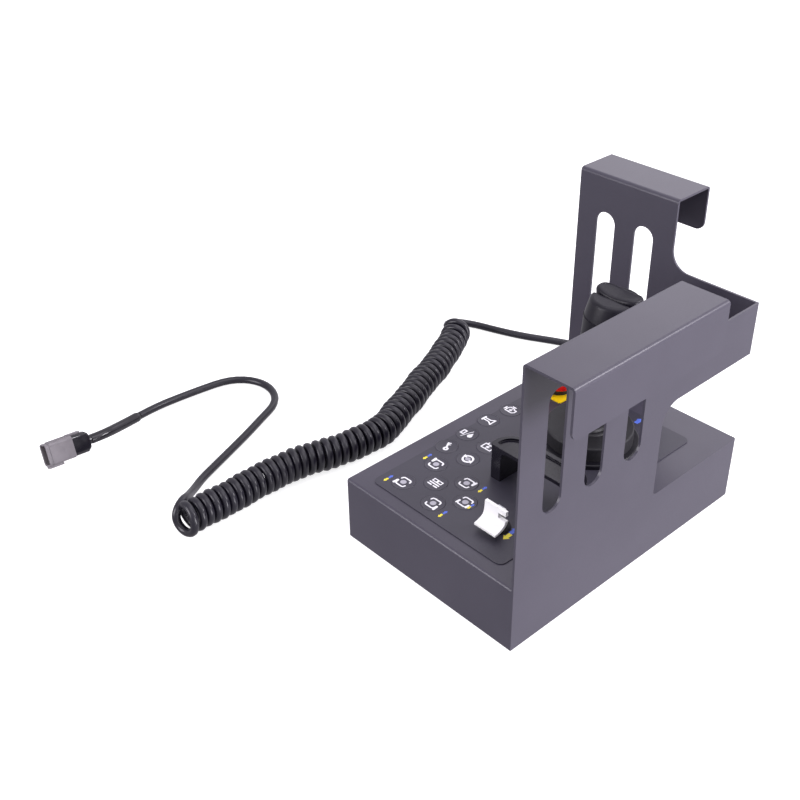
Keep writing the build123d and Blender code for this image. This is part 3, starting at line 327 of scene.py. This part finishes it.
def add_mesh(name, work, finish, body, smooth_angle=35.0):
    """Turns a bmesh in metres into an object, smooth but for edges sharper than the angle."""
    bmesh.ops.recalc_face_normals(work, faces=work.faces)
    mesh = bpy.data.meshes.new(name)
    for face in work.faces:
        face.smooth = True
    for edge in work.edges:
        if len(edge.link_faces) == 2 and edge.calc_face_angle(0.0) > math.radians(smooth_angle):
            edge.smooth = False
    work.to_mesh(mesh)
    work.free()
    return add_object(name, mesh, finish, body)


def skin(work, rings):
    """Joins rings of points, each with the same number, into a tube with flat ends."""
    rows = [[work.verts.new(point) for point in ring] for ring in rings]
    for low, high in zip(rows, rows[1:]):
        for i in range(len(low)):
            j = (i + 1) % len(low)
            work.faces.new((low[i], low[j], high[j], high[i]))
    work.faces.new(list(reversed(rows[0])))
    work.faces.new(rows[-1])


def turned(work, profile, centre, count=64):
    """A turned form. Its profile is radius and height in millimetres from the axis and the centre point."""
    angles = [2 * math.pi * i / count for i in range(count)]
    skin(work, [[centre + Vector((radius * math.cos(a), radius * math.sin(a), height)) * mm for a in angles]
                for radius, height in profile])


def prism(work, outline, low, high):
    """An upright plate with the outline, whose points are in metres in x and y."""
    bottom = [work.verts.new((x, y, low)) for x, y in outline]
    top = [work.verts.new((x, y, high)) for x, y in outline]
    count = len(outline)
    for i in range(count):
        j = (i + 1) % count
        work.faces.new((bottom[i], bottom[j], top[j], top[i]))
    work.faces.new(list(reversed(bottom)))
    work.faces.new(top)


def circle(centre, radius, count=24, start=0.0, turn=360.0):
    """Points on an arc in millimetres; a full turn leaves out the repeated last point."""
    steps = count if turn >= 360 else count - 1
    angles = [math.radians(start + turn * i / steps) for i in range(count)]
    return [(centre[0] + radius * math.cos(a), centre[1] + radius * math.sin(a)) for a in angles]


class Print:
    """Ink on a flat face: bars, discs and areas in millimetres about a centre on the panel."""

    thickness = 0.06
    sunk = 0.02
    step = 0.004

    def __init__(self, u, v, height):
        self.work = bmesh.new()
        self.u, self.v = u, v
        self.low, self.high = (height - self.sunk) * mm, (height + self.thickness) * mm

    def area(self, outline):
        """An inked area, a hair higher than the one before it, so that no two faces coincide."""
        self.high += self.step * mm
        prism(self.work, [corner(self.u + x, self.v + y, 0).xy for x, y in outline], self.low, self.high)

    def disc(self, centre, radius):
        self.area(circle(centre, radius))

    def line(self, points, width, closed=False):
        """A stroke with round ends and bends."""
        if closed:
            points = points + points[:1]
        for start, end in zip(points, points[1:]):
            a, b = Vector(start), Vector(end)
            along = b - a
            across = Vector((-along.y, along.x)).normalized() * width / 2
            self.area([a - across, b - across, b + across, a + across])
        for point in points:
            self.area(circle(point, width / 2, count=10))

    def finish(self, name, ink, body="box"):
        return add_mesh(name, self.work, ink, body)


# Curly cord. Routes are given places on the panel's grid. The helix runs from the far end to the near one.

cable_radius = 4.75
gland_mouth = (64.0, 372.0, 37.0)
lead_route = [
    gland_mouth, (64.0, 404.0, 37.0), (52.0, 441.0, 22.0), (22.0, 474.0, 6.0), (-30.0, 490.0, 4.75),
    (-75.0, 477.0, 4.75), (-115.0, 458.0, 4.75), (-150.0, 438.5, 4.75), (-186.0, 424.5, 4.75),
    (-219.0, 414.0, 4.75), (-240.0, 398.0, 7.0), (-237.0, 379.0, 13.0),
]
coil_route = [
    (-119.0, -127.0, 19.0), (-120.0, -85.0, 19.0), (-119.5, -40.0, 19.0), (-122.0, 4.0, 19.0),
    (-111.0, 52.0, 19.0), (-99.0, 98.0, 19.0), (-100.0, 143.0, 19.0), (-121.0, 190.0, 19.0),
    (-141.0, 238.0, 19.0), (-160.0, 283.0, 19.0), (-181.0, 329.0, 19.0), (-210.0, 372.0, 19.0),
]
tail_route = [
    (-126.5, -128.0, 5.6), (-132.0, -128.5, 11.0), (-133.5, -128.0, 19.5), (-135.5, -122.0, 27.0),
    (-142.0, -111.0, 27.5), (-150.5, -101.5, 20.5), (-161.5, -90.5, 13.5), (-173.0, -77.5, 7.5),
    (-184.5, -62.0, 4.75), (-195.0, -36.0, 4.75), (-206.0, -9.0, 4.75), (-221.0, 28.0, 4.75),
    (-237.0, 63.0, 4.75), (-249.0, 91.0, 4.75), (-270.0, 107.5, 4.75), (-296.5, 111.5, 4.75),
    (-321.0, 101.5, 4.75), (-337.5, 80.0, 4.75), (-342.5, 44.5, 4.75), (-346.0, 8.0, 4.75),
    (-345.5, -22.0, 6.0), (-340.0, -48.0, 8.0),
]
sleeve_route = [(-340.0, -48.0, 8.0), (-334.5, -74.0, 10.0), (-325.1, -103.0, 15.5), (-326.8, -120.0, 15.5)]
coil_radius = 14.25
points_per_turn = 14
# The lead meets the first turn at its side, so that many points at the turn's foot are left out.
points_before_lead = 4
near_pitch = 9.7
middle_pitch = 11.2
far_pitch = 17.0
loose_turns = 3
last_pitch = 13.0
last_growth = 1.0
# The turns stray this far from even, each by a slow sine of its number.
pitch_stray = 0.3
radius_stray = 0.35
sway = 0.7


def nurbs(name, points, resolution):
    """A smooth curve with these control points."""
    data = bpy.data.curves.new(name, "CURVE")
    data.dimensions = "3D"
    spline = data.splines.new("NURBS")
    spline.points.add(len(points) - 1)
    for target, point in zip(spline.points, points):
        target.co = (*point, 1.0)
    spline.order_u = 3
    spline.use_endpoint_u = True
    spline.resolution_u = resolution
    return data


def smooth_line(points):
    """Close points on the smooth curve of a route, with their distances from its start."""
    guide = bpy.data.objects.new("guide", nurbs("guide", points, 24))
    bpy.context.collection.objects.link(guide)
    mesh = bpy.data.meshes.new_from_object(guide)
    line = [vertex.co.copy() for vertex in mesh.vertices]
    curve = guide.data
    bpy.data.objects.remove(guide)
    bpy.data.curves.remove(curve)
    bpy.data.meshes.remove(mesh)
    reach = [0.0]
    for a, b in zip(line, line[1:]):
        reach.append(reach[-1] + (b - a).length)
    return line, reach


def points_at(points, distances):
    """Points and headings at rising distances along the smooth curve of a route."""
    line, reach = smooth_line(points)
    found, leg = [], 0
    for wanted in distances:
        while leg < len(line) - 2 and reach[leg + 1] < wanted:
            leg += 1
        share = (wanted - reach[leg]) / (reach[leg + 1] - reach[leg])
        found.append((line[leg].lerp(line[leg + 1], share), (line[leg + 1] - line[leg]).normalized()))
    return found


def points_along(points, count):
    """Evenly spaced points and headings along the smooth curve of a route."""
    length = smooth_line(points)[1][-1]
    return points_at(points, [length * i / (count - 1) for i in range(count)])


def turn_starts(length):
    """Where each turn starts along the route: loose at the far end, close towards the near one."""
    starts = [0.0]
    while starts[-1] < length:
        turn = len(starts) - 1
        pitch = middle_pitch + (near_pitch - middle_pitch) * starts[-1] / length
        pitch += (far_pitch - middle_pitch) * max(0.0, 1 - turn / loose_turns)
        if length - starts[-1] < last_pitch * mm:
            pitch = last_pitch
        starts.append(starts[-1] + (pitch + pitch_stray * math.sin(2.3 * turn)) * mm)
    return [start * length / starts[-1] for start in starts]


def coil_points():
    """The helix about the coil's route, from the foot of its far turn to the foot of its near one."""
    route = [corner(*p) for p in reversed(coil_route)]
    starts = turn_starts(smooth_line(route)[1][-1])
    distances = []
    for low, high in zip(starts, starts[1:]):
        distances += [low + (high - low) * k / points_per_turn for k in range(points_per_turn)]
    distances.append(starts[-1])
    # Control points lie outside the curve that they draw, by this factor.
    outside = 1 / math.cos(math.pi / points_per_turn)
    turns = []
    for i, (centre, heading) in enumerate(points_at(route, distances)):
        turn = i / points_per_turn
        growth = last_growth * max(0.0, turn + 2 - len(starts))
        radius = (coil_radius + growth + radius_stray * math.sin(1.7 * turn)) * outside * mm
        angle = math.radians(270) - 2 * math.pi * turn
        side = up.cross(heading).normalized()
        centre = centre + up * growth * mm + side * sway * mm * math.sin(0.9 * turn)
        turns.append(centre + side * radius * math.cos(angle) + up * radius * math.sin(angle))
    return turns


def make_cord():
    """Lead, coil and tail are one cable, from the gland to the sleeve on the plug."""
    lead, tail = [[corner(*p) for p in route] for route in (lead_route, tail_route)]
    data = nurbs("curly_cord", lead + coil_points()[points_before_lead:] + tail, 3)
    data.bevel_depth = cable_radius * mm
    data.bevel_resolution = 3
    data.use_fill_caps = True
    cord = add_object("curly_cord", data, "cord_rubber", "box")
    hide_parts("cord_lead", "cord_coil", "cord_tail")
    return cord


def make_sleeve():
    """A flattened heat-shrink sleeve from the cable to the plug: a step at its start, then faint creases."""
    fit, wider, thicker = 0.1, 1.5, 0.8
    step_share, crease_depth, crease_angle = 0.04, 0.3, 9
    line = points_along([corner(*p) for p in sleeve_route], 40)
    rings = []
    for i, (centre, heading) in enumerate(line):
        share = i / (len(line) - 1)
        step = min(1.0, share / step_share)
        crease = crease_depth * math.sin(share * crease_angle) * share
        wide = (cable_radius + fit + wider * step + crease) * mm
        thick = (cable_radius + fit + thicker * step - crease) * mm
        side = heading.cross(up).normalized()
        rise = side.cross(heading)
        rings.append([centre + side * wide * x + rise * thick * y for x, y in circle((0, 0), 1, count=28)])
    work = bmesh.new()
    skin(work, rings)
    sleeve = add_mesh("shrink_sleeve", work, "sleeve_plastic", "box")
    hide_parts("cord_sleeve")
    return sleeve


# Plug. Its own frame has z from the cable to the mouth, x along its narrow side and y down its tall side.

plug_heading = Vector((0.04, -0.993, 0.112)).normalized()
plug_roll = 25.0
backshell_end = 26.0
mouth_end = 60.0
mouth_floor = 42.0
pin_radius = 1.1
pin_length = 10.0
pin_spacing = 5.2
pin_row = 2.6


def plug_place(x, y, z):
    """A place in millimetres in the plug's frame, which starts at the sleeve's end."""
    level = plug_heading.cross(up).normalized()
    across = Matrix.Rotation(math.radians(plug_roll), 3, plug_heading) @ level
    tall = plug_heading.cross(across)
    return corner(*sleeve_route[-1]) + (across * x + tall * y + plug_heading * z) * mm


def plug_ring(z, wide, tall, rounding):
    """The outline of a rounded rectangle across the plug."""
    ring = []
    for n, (x, y) in enumerate(((1, 1), (-1, 1), (-1, -1), (1, -1))):
        centre = (x * (wide / 2 - rounding), y * (tall / 2 - rounding))
        ring += [plug_place(*point, z) for point in circle(centre, rounding, count=6, start=90 * n, turn=90)]
    return ring


def plug_bar(work, x, y, z):
    """A straight bar on the plug, from pairs of limits."""
    ends = ((x[0], y[0]), (x[1], y[0]), (x[1], y[1]), (x[0], y[1]))
    skin(work, [[plug_place(*point, height) for point in ends] for height in z])


def make_backshell():
    """The black rear half: a round neck in the sleeve that widens to the shell's outline."""
    neck = [(-4.0, 10.6, 10.6, 5.2), (4.0, 11.2, 11.2, 5.5)]
    shoulder = [(4.4, 12.4, 19.0, 4.5), (8.5, 14.0, 24.6, 3.5)]
    rear = [(backshell_end + 1, 14.0, 24.6, 3.5)]
    work = bmesh.new()
    skin(work, [plug_ring(*ring) for ring in neck + shoulder + rear])
    backshell = add_mesh("plug_rear", work, "sleeve_plastic", "box")
    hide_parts("plug_backshell")
    return backshell


def make_shell():
    """The grey front half: a rim behind a groove, a deep mouth, ribs, a tab on the backshell and a latch."""
    body = [(backshell_end, 14.6, 25.6, 3.4), (backshell_end + 0.6, 15.2, 26.2, 3.6),
            (mouth_end - 4.6, 15.2, 26.2, 3.6)]
    groove = [(mouth_end - 4.4, 14.2, 25.2, 3.2), (mouth_end - 3.4, 14.2, 25.2, 3.2)]
    rim = [(mouth_end - 3.2, 15.8, 26.8, 3.9), (mouth_end - 0.5, 15.8, 26.8, 3.9),
           (mouth_end, 15.2, 26.2, 3.6)]
    mouth = [(mouth_end, 13.0, 24.0, 2.6), (mouth_end - 0.6, 12.2, 23.2, 2.3),
             (mouth_floor, 11.8, 22.8, 2.1)]
    work = bmesh.new()
    skin(work, [plug_ring(*ring) for ring in body + groove + rim + mouth])
    ribs = (backshell_end + 2, mouth_end - 6)
    for side in (-1, 1):
        plug_bar(work, (side * 7.2, side * 8.2), (-10.2, -8.8), ribs)
        plug_bar(work, (side * 3.4, side * 4.8), (-13.8, -12.8), ribs)
    tab = (12.0, backshell_end + 2)
    plug_bar(work, (-1.0, 6.0), (-14.2, -12.0), tab)
    latch = (mouth_end - 18, mouth_end - 0.4)
    plug_bar(work, (-4.0, 4.0), (12.6, 16.0), latch)
    shell = add_mesh("plug_front", work, "grey_plastic", "box", smooth_angle=30)
    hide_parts("plug_shell")
    return shell


def make_pins():
    """Two rows of four pins on the mouth's floor."""
    work = bmesh.new()
    for x in (-pin_row, pin_row):
        for n in range(4):
            outline = circle((x, pin_spacing * (n - 1.5)), pin_radius, count=16)
            skin(work, [[plug_place(*point, z) for point in outline]
                        for z in (mouth_floor - 0.5, mouth_floor + pin_length)])
    pins = add_mesh("plug_pins", work, "brass_pins", "box")
    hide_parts("plug_contacts")
    return pins


cord = make_cord()
sleeve = make_sleeve()
make_backshell()
make_shell()
make_pins()


# Solids that keep their shape

edge_rounding = 0.35


def finish_solids():
    """Gives every solid the finish of its slot and finely rounded edges."""
    slots = {part["node"]: part["material_slot"] for part in frame["record"]["subparts"]}
    for name, solid in nodes.items():
        solid.data.materials.clear()
        solid.data.materials.append(materials[slots[name]])
        edge = solid.modifiers.new("fine_edge", "BEVEL")
        edge.width = edge_rounding * mm
        edge.segments = 2
        edge.limit_method = "ANGLE"
        edge.angle_limit = math.radians(50)


finish_solids()


# Keypad. Signs are outlines in millimetres about the key's centre.

def key_button(name, u, v):
    """A key of the embossed film: a low crest around a flat face, on the stem that works its switch."""
    stem = [(3.0, 70.5), (3.0, 75.7)]
    skirt = [(12.78, 75.7), (12.78, 75.8), (12.6, 76.0), (12.3, 76.25)]
    crest = [(12.0, 76.42), (11.7, 76.46), (11.4, 76.4), (11.1, 76.28), (10.7, key_face)]
    work = bmesh.new()
    turned(work, stem + skirt + crest, corner(u, v, 0))
    button = add_mesh(name + "_button", work, "key_film", name, smooth_angle=50)
    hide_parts(name)


def hub(name, u, v, radius):
    disc = Print(u, v, key_face)
    disc.disc((0, 0), radius)
    disc.finish(name + "_hub", "grey_ink", name)


def leg_sign(name, u, v, side, end):
    """A machine seen from above: front and rear brackets about its hub, and a heavy bar for the named leg.

    Side and end are -1 or 1 for a leg at the left or right and at the front or rear, and 0 for all legs.
    """
    sign = Print(u, v, key_face)
    for y in (-1, 1):
        left_half = [(-6.0, 3.2 * y), (-5.4, 5.6 * y), (-3.6, 6.4 * y)]
        right_half = [(3.6, 6.4 * y), (5.4, 5.6 * y), (6.0, 3.2 * y)]
        sign.line(left_half + right_half, 1.7)
    for x in (-1, 1):
        for y in (-1, 1):
            if (x, y) == (side, end):
                sign.line([(6.6 * x, 1.6 * y), (7.2 * x, 6.6 * y)], 2.9)
            elif side == 0 and y < 0:
                sign.line([(6.2 * x, 1.8 * y), (6.6 * x, 6.0 * y)], 2.4)
    sign.finish(name + "_sign", "white_ink", name)
    hub(name, u, v, 3.3)


def level_sign(name, u, v):
    """A spirit level over two bars."""
    sign = Print(u, v, key_face)
    sign.line([(-5.8, 1.0), (5.8, 1.0), (5.8, 4.8), (-5.8, 4.8)], 1.3, closed=True)
    sign.disc((0, 2.9), 1.4)
    sign.line([(-6.2, -2.0), (6.2, -2.0)], 1.7)
    sign.line([(-6.2, -5.2), (-1.6, -5.2)], 1.7)
    sign.line([(1.6, -5.2), (6.2, -5.2)], 1.7)
    sign.finish(name + "_sign", "white_ink", name)


def lock_key_sign(name, u, v):
    """A door key, its round bow towards the operator."""
    sign = Print(u, v, key_face)
    sign.line(circle((2.4, -3.8), 2.1, count=16), 2.2, closed=True)
    sign.line([(1.4, -1.6), (-2.6, 5.6)], 2.2)
    sign.line([(-2.6, 5.6), (-0.2, 6.8)], 1.7)
    sign.line([(-1.0, 3.0), (1.2, 4.2)], 1.5)
    sign.finish(name + "_sign", "white_ink", name)


def fuel_sign(name, u, v):
    """A mark for two fuels: a tank and a drop, parted by a stroke."""
    sign = Print(u, v, key_face)
    sign.line([(-7.4, -3.2), (-7.4, 3.4), (-3.6, 3.4), (-3.6, -3.2)], 1.7, closed=True)
    sign.line([(-2.6, -7.6), (2.4, 7.6)], 0.8)
    sign.disc((4.8, -1.4), 2.9)
    sign.area([(2.3, 0.0), (7.3, 0.0), (4.8, 4.8)])
    sign.finish(name + "_sign", "white_ink", name)


def horn_sign(name, u, v):
    """A horn, its bell to the right."""
    sign = Print(u, v, key_face)
    sign.line([(-6.4, 1.4), (2.0, 1.4), (6.6, 4.4)], 1.6)
    sign.line([(-6.4, -1.8), (2.0, -1.8), (6.6, -4.8)], 1.6)
    sign.line([(6.8, 4.6), (6.8, -5.0)], 1.6)
    sign.line([(-6.4, 2.8), (-6.4, -3.2)], 2.4)
    sign.finish(name + "_sign", "white_ink", name)


def engine_sign(name, u, v):
    """An engine block with its shaft, filler cap and a start flash."""
    sign = Print(u, v, key_face)
    sump = [(-5.2, -4.0), (4.2, -4.0), (6.2, -1.4)]
    head = [(6.2, 2.2), (3.2, 2.2), (1.4, 4.2), (-3.8, 4.2), (-5.2, 1.8)]
    sign.line(sump + head, 1.6, closed=True)
    sign.line([(-7.8, -2.6), (-7.8, 2.0)], 1.6)
    sign.line([(-7.8, -0.4), (-5.2, -0.4)], 1.4)
    sign.line([(-2.6, 6.6), (2.0, 6.6)], 1.5)
    sign.line([(-0.4, 6.6), (-0.4, 4.2)], 1.5)
    sign.line([(0.8, 2.0), (-1.8, -0.5), (1.6, -0.5), (-0.8, -2.8)], 1.2)
    sign.finish(name + "_sign", "white_ink", name)


def turning_sign(name, u, v):
    """Two arrows that chase each other about a hub."""
    ring, sweep = 5.6, 130
    sign = Print(u, v, key_face)
    for start in (20, 200):
        sign.line(circle((0, 0), ring, count=14, start=start, turn=sweep), 2.3)
        tip = math.radians(start + sweep)
        out = Vector((math.cos(tip), math.sin(tip)))
        ahead = Vector((-math.sin(tip), math.cos(tip)))
        sign.area([out * (ring - 3.2), out * (ring + 3.2), out * ring + ahead * 4.2])
    sign.finish(name + "_sign", "white_ink", name)
    hub(name, u, v, 2.9)


def generator_sign(name, u, v):
    """A battery with its two poles and a flash."""
    sign = Print(u, v, key_face)
    sign.line([(-6.2, -4.4), (6.2, -4.4), (6.2, 3.6), (-6.2, 3.6)], 1.5, closed=True)
    sign.line([(0.8, 2.4), (-1.8, -0.4), (1.8, -0.4), (-0.8, -3.0)], 1.3)
    sign.line([(-3.8, 3.6), (-3.8, 6.2)], 1.7)
    sign.line([(3.8, 3.6), (3.8, 6.2)], 1.7)
    sign.finish(name + "_sign", "white_ink", name)


def arrow(u, v, length, width, direction, ink, name, height=overlay_top, body="box"):
    """A printed arrow that points away from the operator, or towards for a direction of -1."""
    mark = Print(u, v, height)
    half, neck, shoulder = direction * length / 2, width * 0.27, 0.1
    shaft = [(-neck, -half), (neck, -half), (neck, shoulder * half)]
    head = [(width / 2, shoulder * half), (0, half), (-width / 2, shoulder * half), (-neck, shoulder * half)]
    mark.area((shaft + head)[::direction])
    mark.finish(name, ink, body)


def leg_arrows(name, u, v, half_gap, length, width, **where):
    """A yellow arrow to the operator and a blue one away, for a leg that draws in and one that goes out."""
    arrow(u, v - half_gap, length, width, -1, "yellow_ink", "arrow_in_" + name, **where)
    arrow(u, v + half_gap, length, width, 1, "blue_ink", "arrow_out_" + name, **where)


def key_centre(name):
    left, right, front, rear = panel_box(name)
    return (left + right) / 2, (front + rear) / 2


def make_keypad():
    """Every key with its sign, and the arrows beside the leg keys, the toggle and the joystick."""
    legs = {
        "key_leg_front_left": (-1, -1), "key_leg_front_right": (1, -1), "key_leg_rear_left": (-1, 1),
        "key_leg_rear_right": (1, 1), "key_all_legs": (0, 0),
    }
    for name, (side, end) in legs.items():
        u, v = key_centre(name)
        key_button(name, u, v)
        leg_sign(name, u, v, side, end)
    signs = {
        "key_auto_level": level_sign, "key_ignition": lock_key_sign, "key_fuel": fuel_sign,
        "key_horn": horn_sign, "key_engine": engine_sign, "key_rotate": turning_sign,
        "key_generator": generator_sign,
    }
    for name, sign in signs.items():
        u, v = key_centre(name)
        key_button(name, u, v)
        sign(name, u, v)
    pairs = {
        "front_left": (31.3, 31.0), "rear_left": (31.8, 86.0), "rear_right": (111.3, 87.2),
        "front_right": (111.8, 30.6),
    }
    for name, (u, v) in pairs.items():
        leg_arrows(name, u, v, half_gap=3.5, length=6.2, width=4.4)
    leg_arrows("all", 122.6, 59.0, half_gap=2.6, length=5.2, width=3.8, height=key_face, body="key_all_legs")
    arrow(178.9, 51.4, 11.0, 8.0, -1, "yellow_ink", "arrow_back")
    arrow(177.8, 62.6, 11.0, 8.0, 1, "blue_ink", "arrow_forward")
    arrow(144.0, 300.0, 12.0, 9.0, 1, "blue_ink", "arrow_joystick")


make_keypad()


# Toggle paddle, thumb rocker and joystick guard

def joined(base, *steps):
    """A solid after its steps: each is an operation and the bmesh of a solid that is added or taken away."""
    def solid(name, work):
        made = bpy.data.objects.new(name, bpy.data.meshes.new(name))
        bpy.context.collection.objects.link(made)
        bmesh.ops.recalc_face_normals(work, faces=work.faces)
        work.to_mesh(made.data)
        work.free()
        return made

    made = solid("base", base)
    for operation, work in steps:
        tool = solid("tool", work)
        step = made.modifiers.new("step", "BOOLEAN")
        step.operation = operation
        step.object = tool
        step.solver = "EXACT"
        bpy.context.view_layer.update()
        shape = bpy.data.meshes.new_from_object(made.evaluated_get(bpy.context.evaluated_depsgraph_get()))
        made.modifiers.clear()
        made.data = shape
        bpy.data.objects.remove(tool)
    result = bmesh.new()
    result.from_mesh(made.data)
    bpy.data.objects.remove(made)
    return result


def round_edges(piece, width):
    edge = piece.modifiers.new("rounded_edges", "BEVEL")
    edge.width = width * mm
    edge.segments = 3
    edge.angle_limit = math.radians(45)


def curve_between(start, pull, end, count=9):
    """Points of a quadratic curve, the last one left out."""
    shares = [i / count for i in range(count)]
    return [((1 - s) ** 2 * start[0] + 2 * s * (1 - s) * pull[0] + s * s * end[0],
             (1 - s) ** 2 * start[1] + 2 * s * (1 - s) * pull[1] + s * s * end[1]) for s in shares]


def brick(u, v, z):
    """A block from pairs of limits in millimetres."""
    work = bmesh.new()
    low, high = corner(u[0], v[0], 0), corner(u[1], v[1], 0)
    prism(work, [(low.x, low.y), (high.x, low.y), (high.x, high.y), (low.x, high.y)], z[0] * mm, z[1] * mm)
    return work


def make_paddle():
    """The toggle's white blade: an upright back, a toe that sweeps to the operator, and a notch at its right.

    Its outline is in millimetres: back from the lever's axis, and up from the overlay.
    """
    u, v, half_width = 163.5, 56.5, 13.9
    top_front, toe_top, toe_foot, back_foot = (-7.2, 17.0), (-20.5, 8.8), (-20.5, 6.4), (-3.0, 16.6)
    outline = [(-3.0, 29.0), (-6.2, 29.0)]
    outline += curve_between(top_front, (-8.6, 10.6), toe_top)
    outline += [toe_top, toe_foot]
    outline += curve_between(toe_foot, (-5.6, 7.0), back_foot)
    outline += [back_foot]
    blade = bmesh.new()
    skin(blade, [[corner(u + x, v + y, overlay_top + z) for y, z in outline]
                 for x in (-half_width, half_width)])
    socket = brick((u - 4.6, u + 4.6), (v - 5.0, v + 4.2), (overlay_top + 12.0, overlay_top + 22.5))
    right = u + half_width
    notch = brick((right - 9.5, right + 1), (v - 21, v - 2.6), (overlay_top + 17.8, overlay_top + 23.6))
    shape = joined(blade, ("UNION", socket), ("DIFFERENCE", notch))
    paddle = add_mesh("paddle_blade", shape, "white_plastic", "toggle")
    round_edges(paddle, 0.9)
    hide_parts("toggle_paddle")


def make_rocker():
    """The thumb rocker: an oval pad, raised at both ends, in the top of the grip's head."""
    low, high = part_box("thumb_rocker")
    centre, half = (Vector(low) + Vector(high)) / 2, (Vector(high) - Vector(low)) / 2
    # Each ring is a share of the pad's half length and width, and a share of its height.
    wall = [(0.94, 0.0), (1.02, 0.2), (1.04, 0.6), (1.02, 0.78)]
    crown = [(0.97, 0.9), (0.88, 0.97), (0.6, 1.0), (0.2, 1.0)]
    squareness, middle_height, end_rise = 0.72, 0.74, 0.32
    rings = []
    for share, level in wall + crown:
        ring = []
        for across, along in circle((0, 0), 1, count=56):
            x = math.copysign(abs(across) ** squareness, across) * share
            y = math.copysign(abs(along) ** squareness, along) * share
            lift = middle_height + end_rise * min(1.0, abs(x)) ** 1.4
            height = low[2] + 2 * half.z * level * lift
            ring.append(Vector((centre.x + half.x * x, centre.y + half.y * y, height)))
        rings.append(ring)
    work = bmesh.new()
    skin(work, rings)
    rocker = add_mesh("rocker_pad", work, "grip_plastic", "rocker", smooth_angle=60)
    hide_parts("thumb_rocker")


def rounded_plan(left, right, front, rear, front_corner, rear_corner):
    """A rectangle on the panel with its own rounding at the front and at the rear."""
    corners = [
        (right - rear_corner, rear - rear_corner, rear_corner),
        (left + rear_corner, rear - rear_corner, rear_corner),
        (left + front_corner, front + front_corner, front_corner),
        (right - front_corner, front + front_corner, front_corner),
    ]
    outline = []
    for n, (u, v, rounding) in enumerate(corners):
        arc = circle((u, v), rounding, count=12, start=90 * n, turn=90)
        outline += [corner(*point, 0).xy for point in arc]
    return outline


def make_guard():
    """The joystick guard: an arch with broad rear corners, softly rounded edges and a shallow pocket."""
    leg, deck, inner_corner = 15.0, 4.5, 8.0
    wall, hollow = 5.0, 2.5
    left, right, front, rear = panel_box("joystick_guard")
    low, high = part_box("joystick_guard")
    foot, crown = low[2], high[2]
    ceiling = (crown - foot) / mm - deck
    arch = bmesh.new()
    prism(arch, rounded_plan(left, right, front, rear, 4.0, 23.0), foot, crown)

    sides = [(left + leg, -2.0), (right - leg, -2.0)]
    for u, start in ((right - leg - inner_corner, 0), (left + leg + inner_corner, 90)):
        sides += circle((u, ceiling - inner_corner), inner_corner, count=8, start=start, turn=90)
    opening = bmesh.new()
    skin(opening, [[corner(u, v, foot / mm + z) for u, z in sides] for v in (front - 1, rear + 1)])

    pocket = bmesh.new()
    plan = rounded_plan(left + wall, right - wall, front + wall, rear - wall, 3.5, 16.5)
    prism(pocket, plan, crown - hollow * mm, crown + mm)
    shape = joined(arch, ("DIFFERENCE", opening), ("DIFFERENCE", pocket))
    guard = add_mesh("guard_arch", shape, "guard_plastic", "box")
    round_edges(guard, 1.5)
    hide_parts("joystick_guard")


make_paddle()
make_rocker()
make_guard()


# Joystick boot

def make_boot():
    """A bellows of three folds between the puck and the grip, turned about the lever's axis; it rides on no
    body.
    """
    first_fold = [(24.0, 92.0), (24.0, 97.1), (22.5, 98.4), (20.4, 98.9), (19.3, 98.2)]
    second_fold = [(18.6, 99.0), (18.4, 101.0), (17.2, 102.1), (15.4, 102.4), (14.6, 101.9)]
    third_fold = [(14.1, 102.9), (14.0, 104.8), (13.0, 105.8), (11.6, 106.1)]
    neck = [(11.2, 107.2), (11.0, 110.0), (5.2, 110.0), (5.2, 92.0)]
    work = bmesh.new()
    turned(work, first_fold + second_fold + third_fold + neck, corner(lever_u, lever_v, 0))
    boot = add_mesh("bellows_boot", work, "boot_rubber", "box", smooth_angle=70)
    boot.parent = None
    del boot["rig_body"]
    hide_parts("boot_dome")
    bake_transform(boot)


make_boot()


# Floor

def make_floor():
    """A plain pale floor that the box stands on, a hair below it."""
    material, tree, shader = new_material("studio_floor")
    shader.inputs["Base Color"].default_value = linear("#c4c4c4")
    shader.inputs["Roughness"].default_value = 0.9
    shader.inputs["Specular IOR Level"].default_value = 0.2
    shader.inputs["Emission Color"].default_value = linear("#ffffff")
    shader.inputs["Emission Strength"].default_value = 0.78
    work = bmesh.new()
    bmesh.ops.create_grid(work, x_segments=1, y_segments=1, size=6.0)
    mesh = bpy.data.meshes.new("floor")
    work.to_mesh(mesh)
    work.free()
    mesh.materials.append(material)
    floor = bpy.data.objects.new("floor", mesh)
    floor.location = (0, 0, -0.2 * mm)
    floor.visible_diffuse = False
    floor.visible_glossy = False
    bpy.context.collection.objects.link(floor)


make_floor()

bpy.context.view_layer.update()
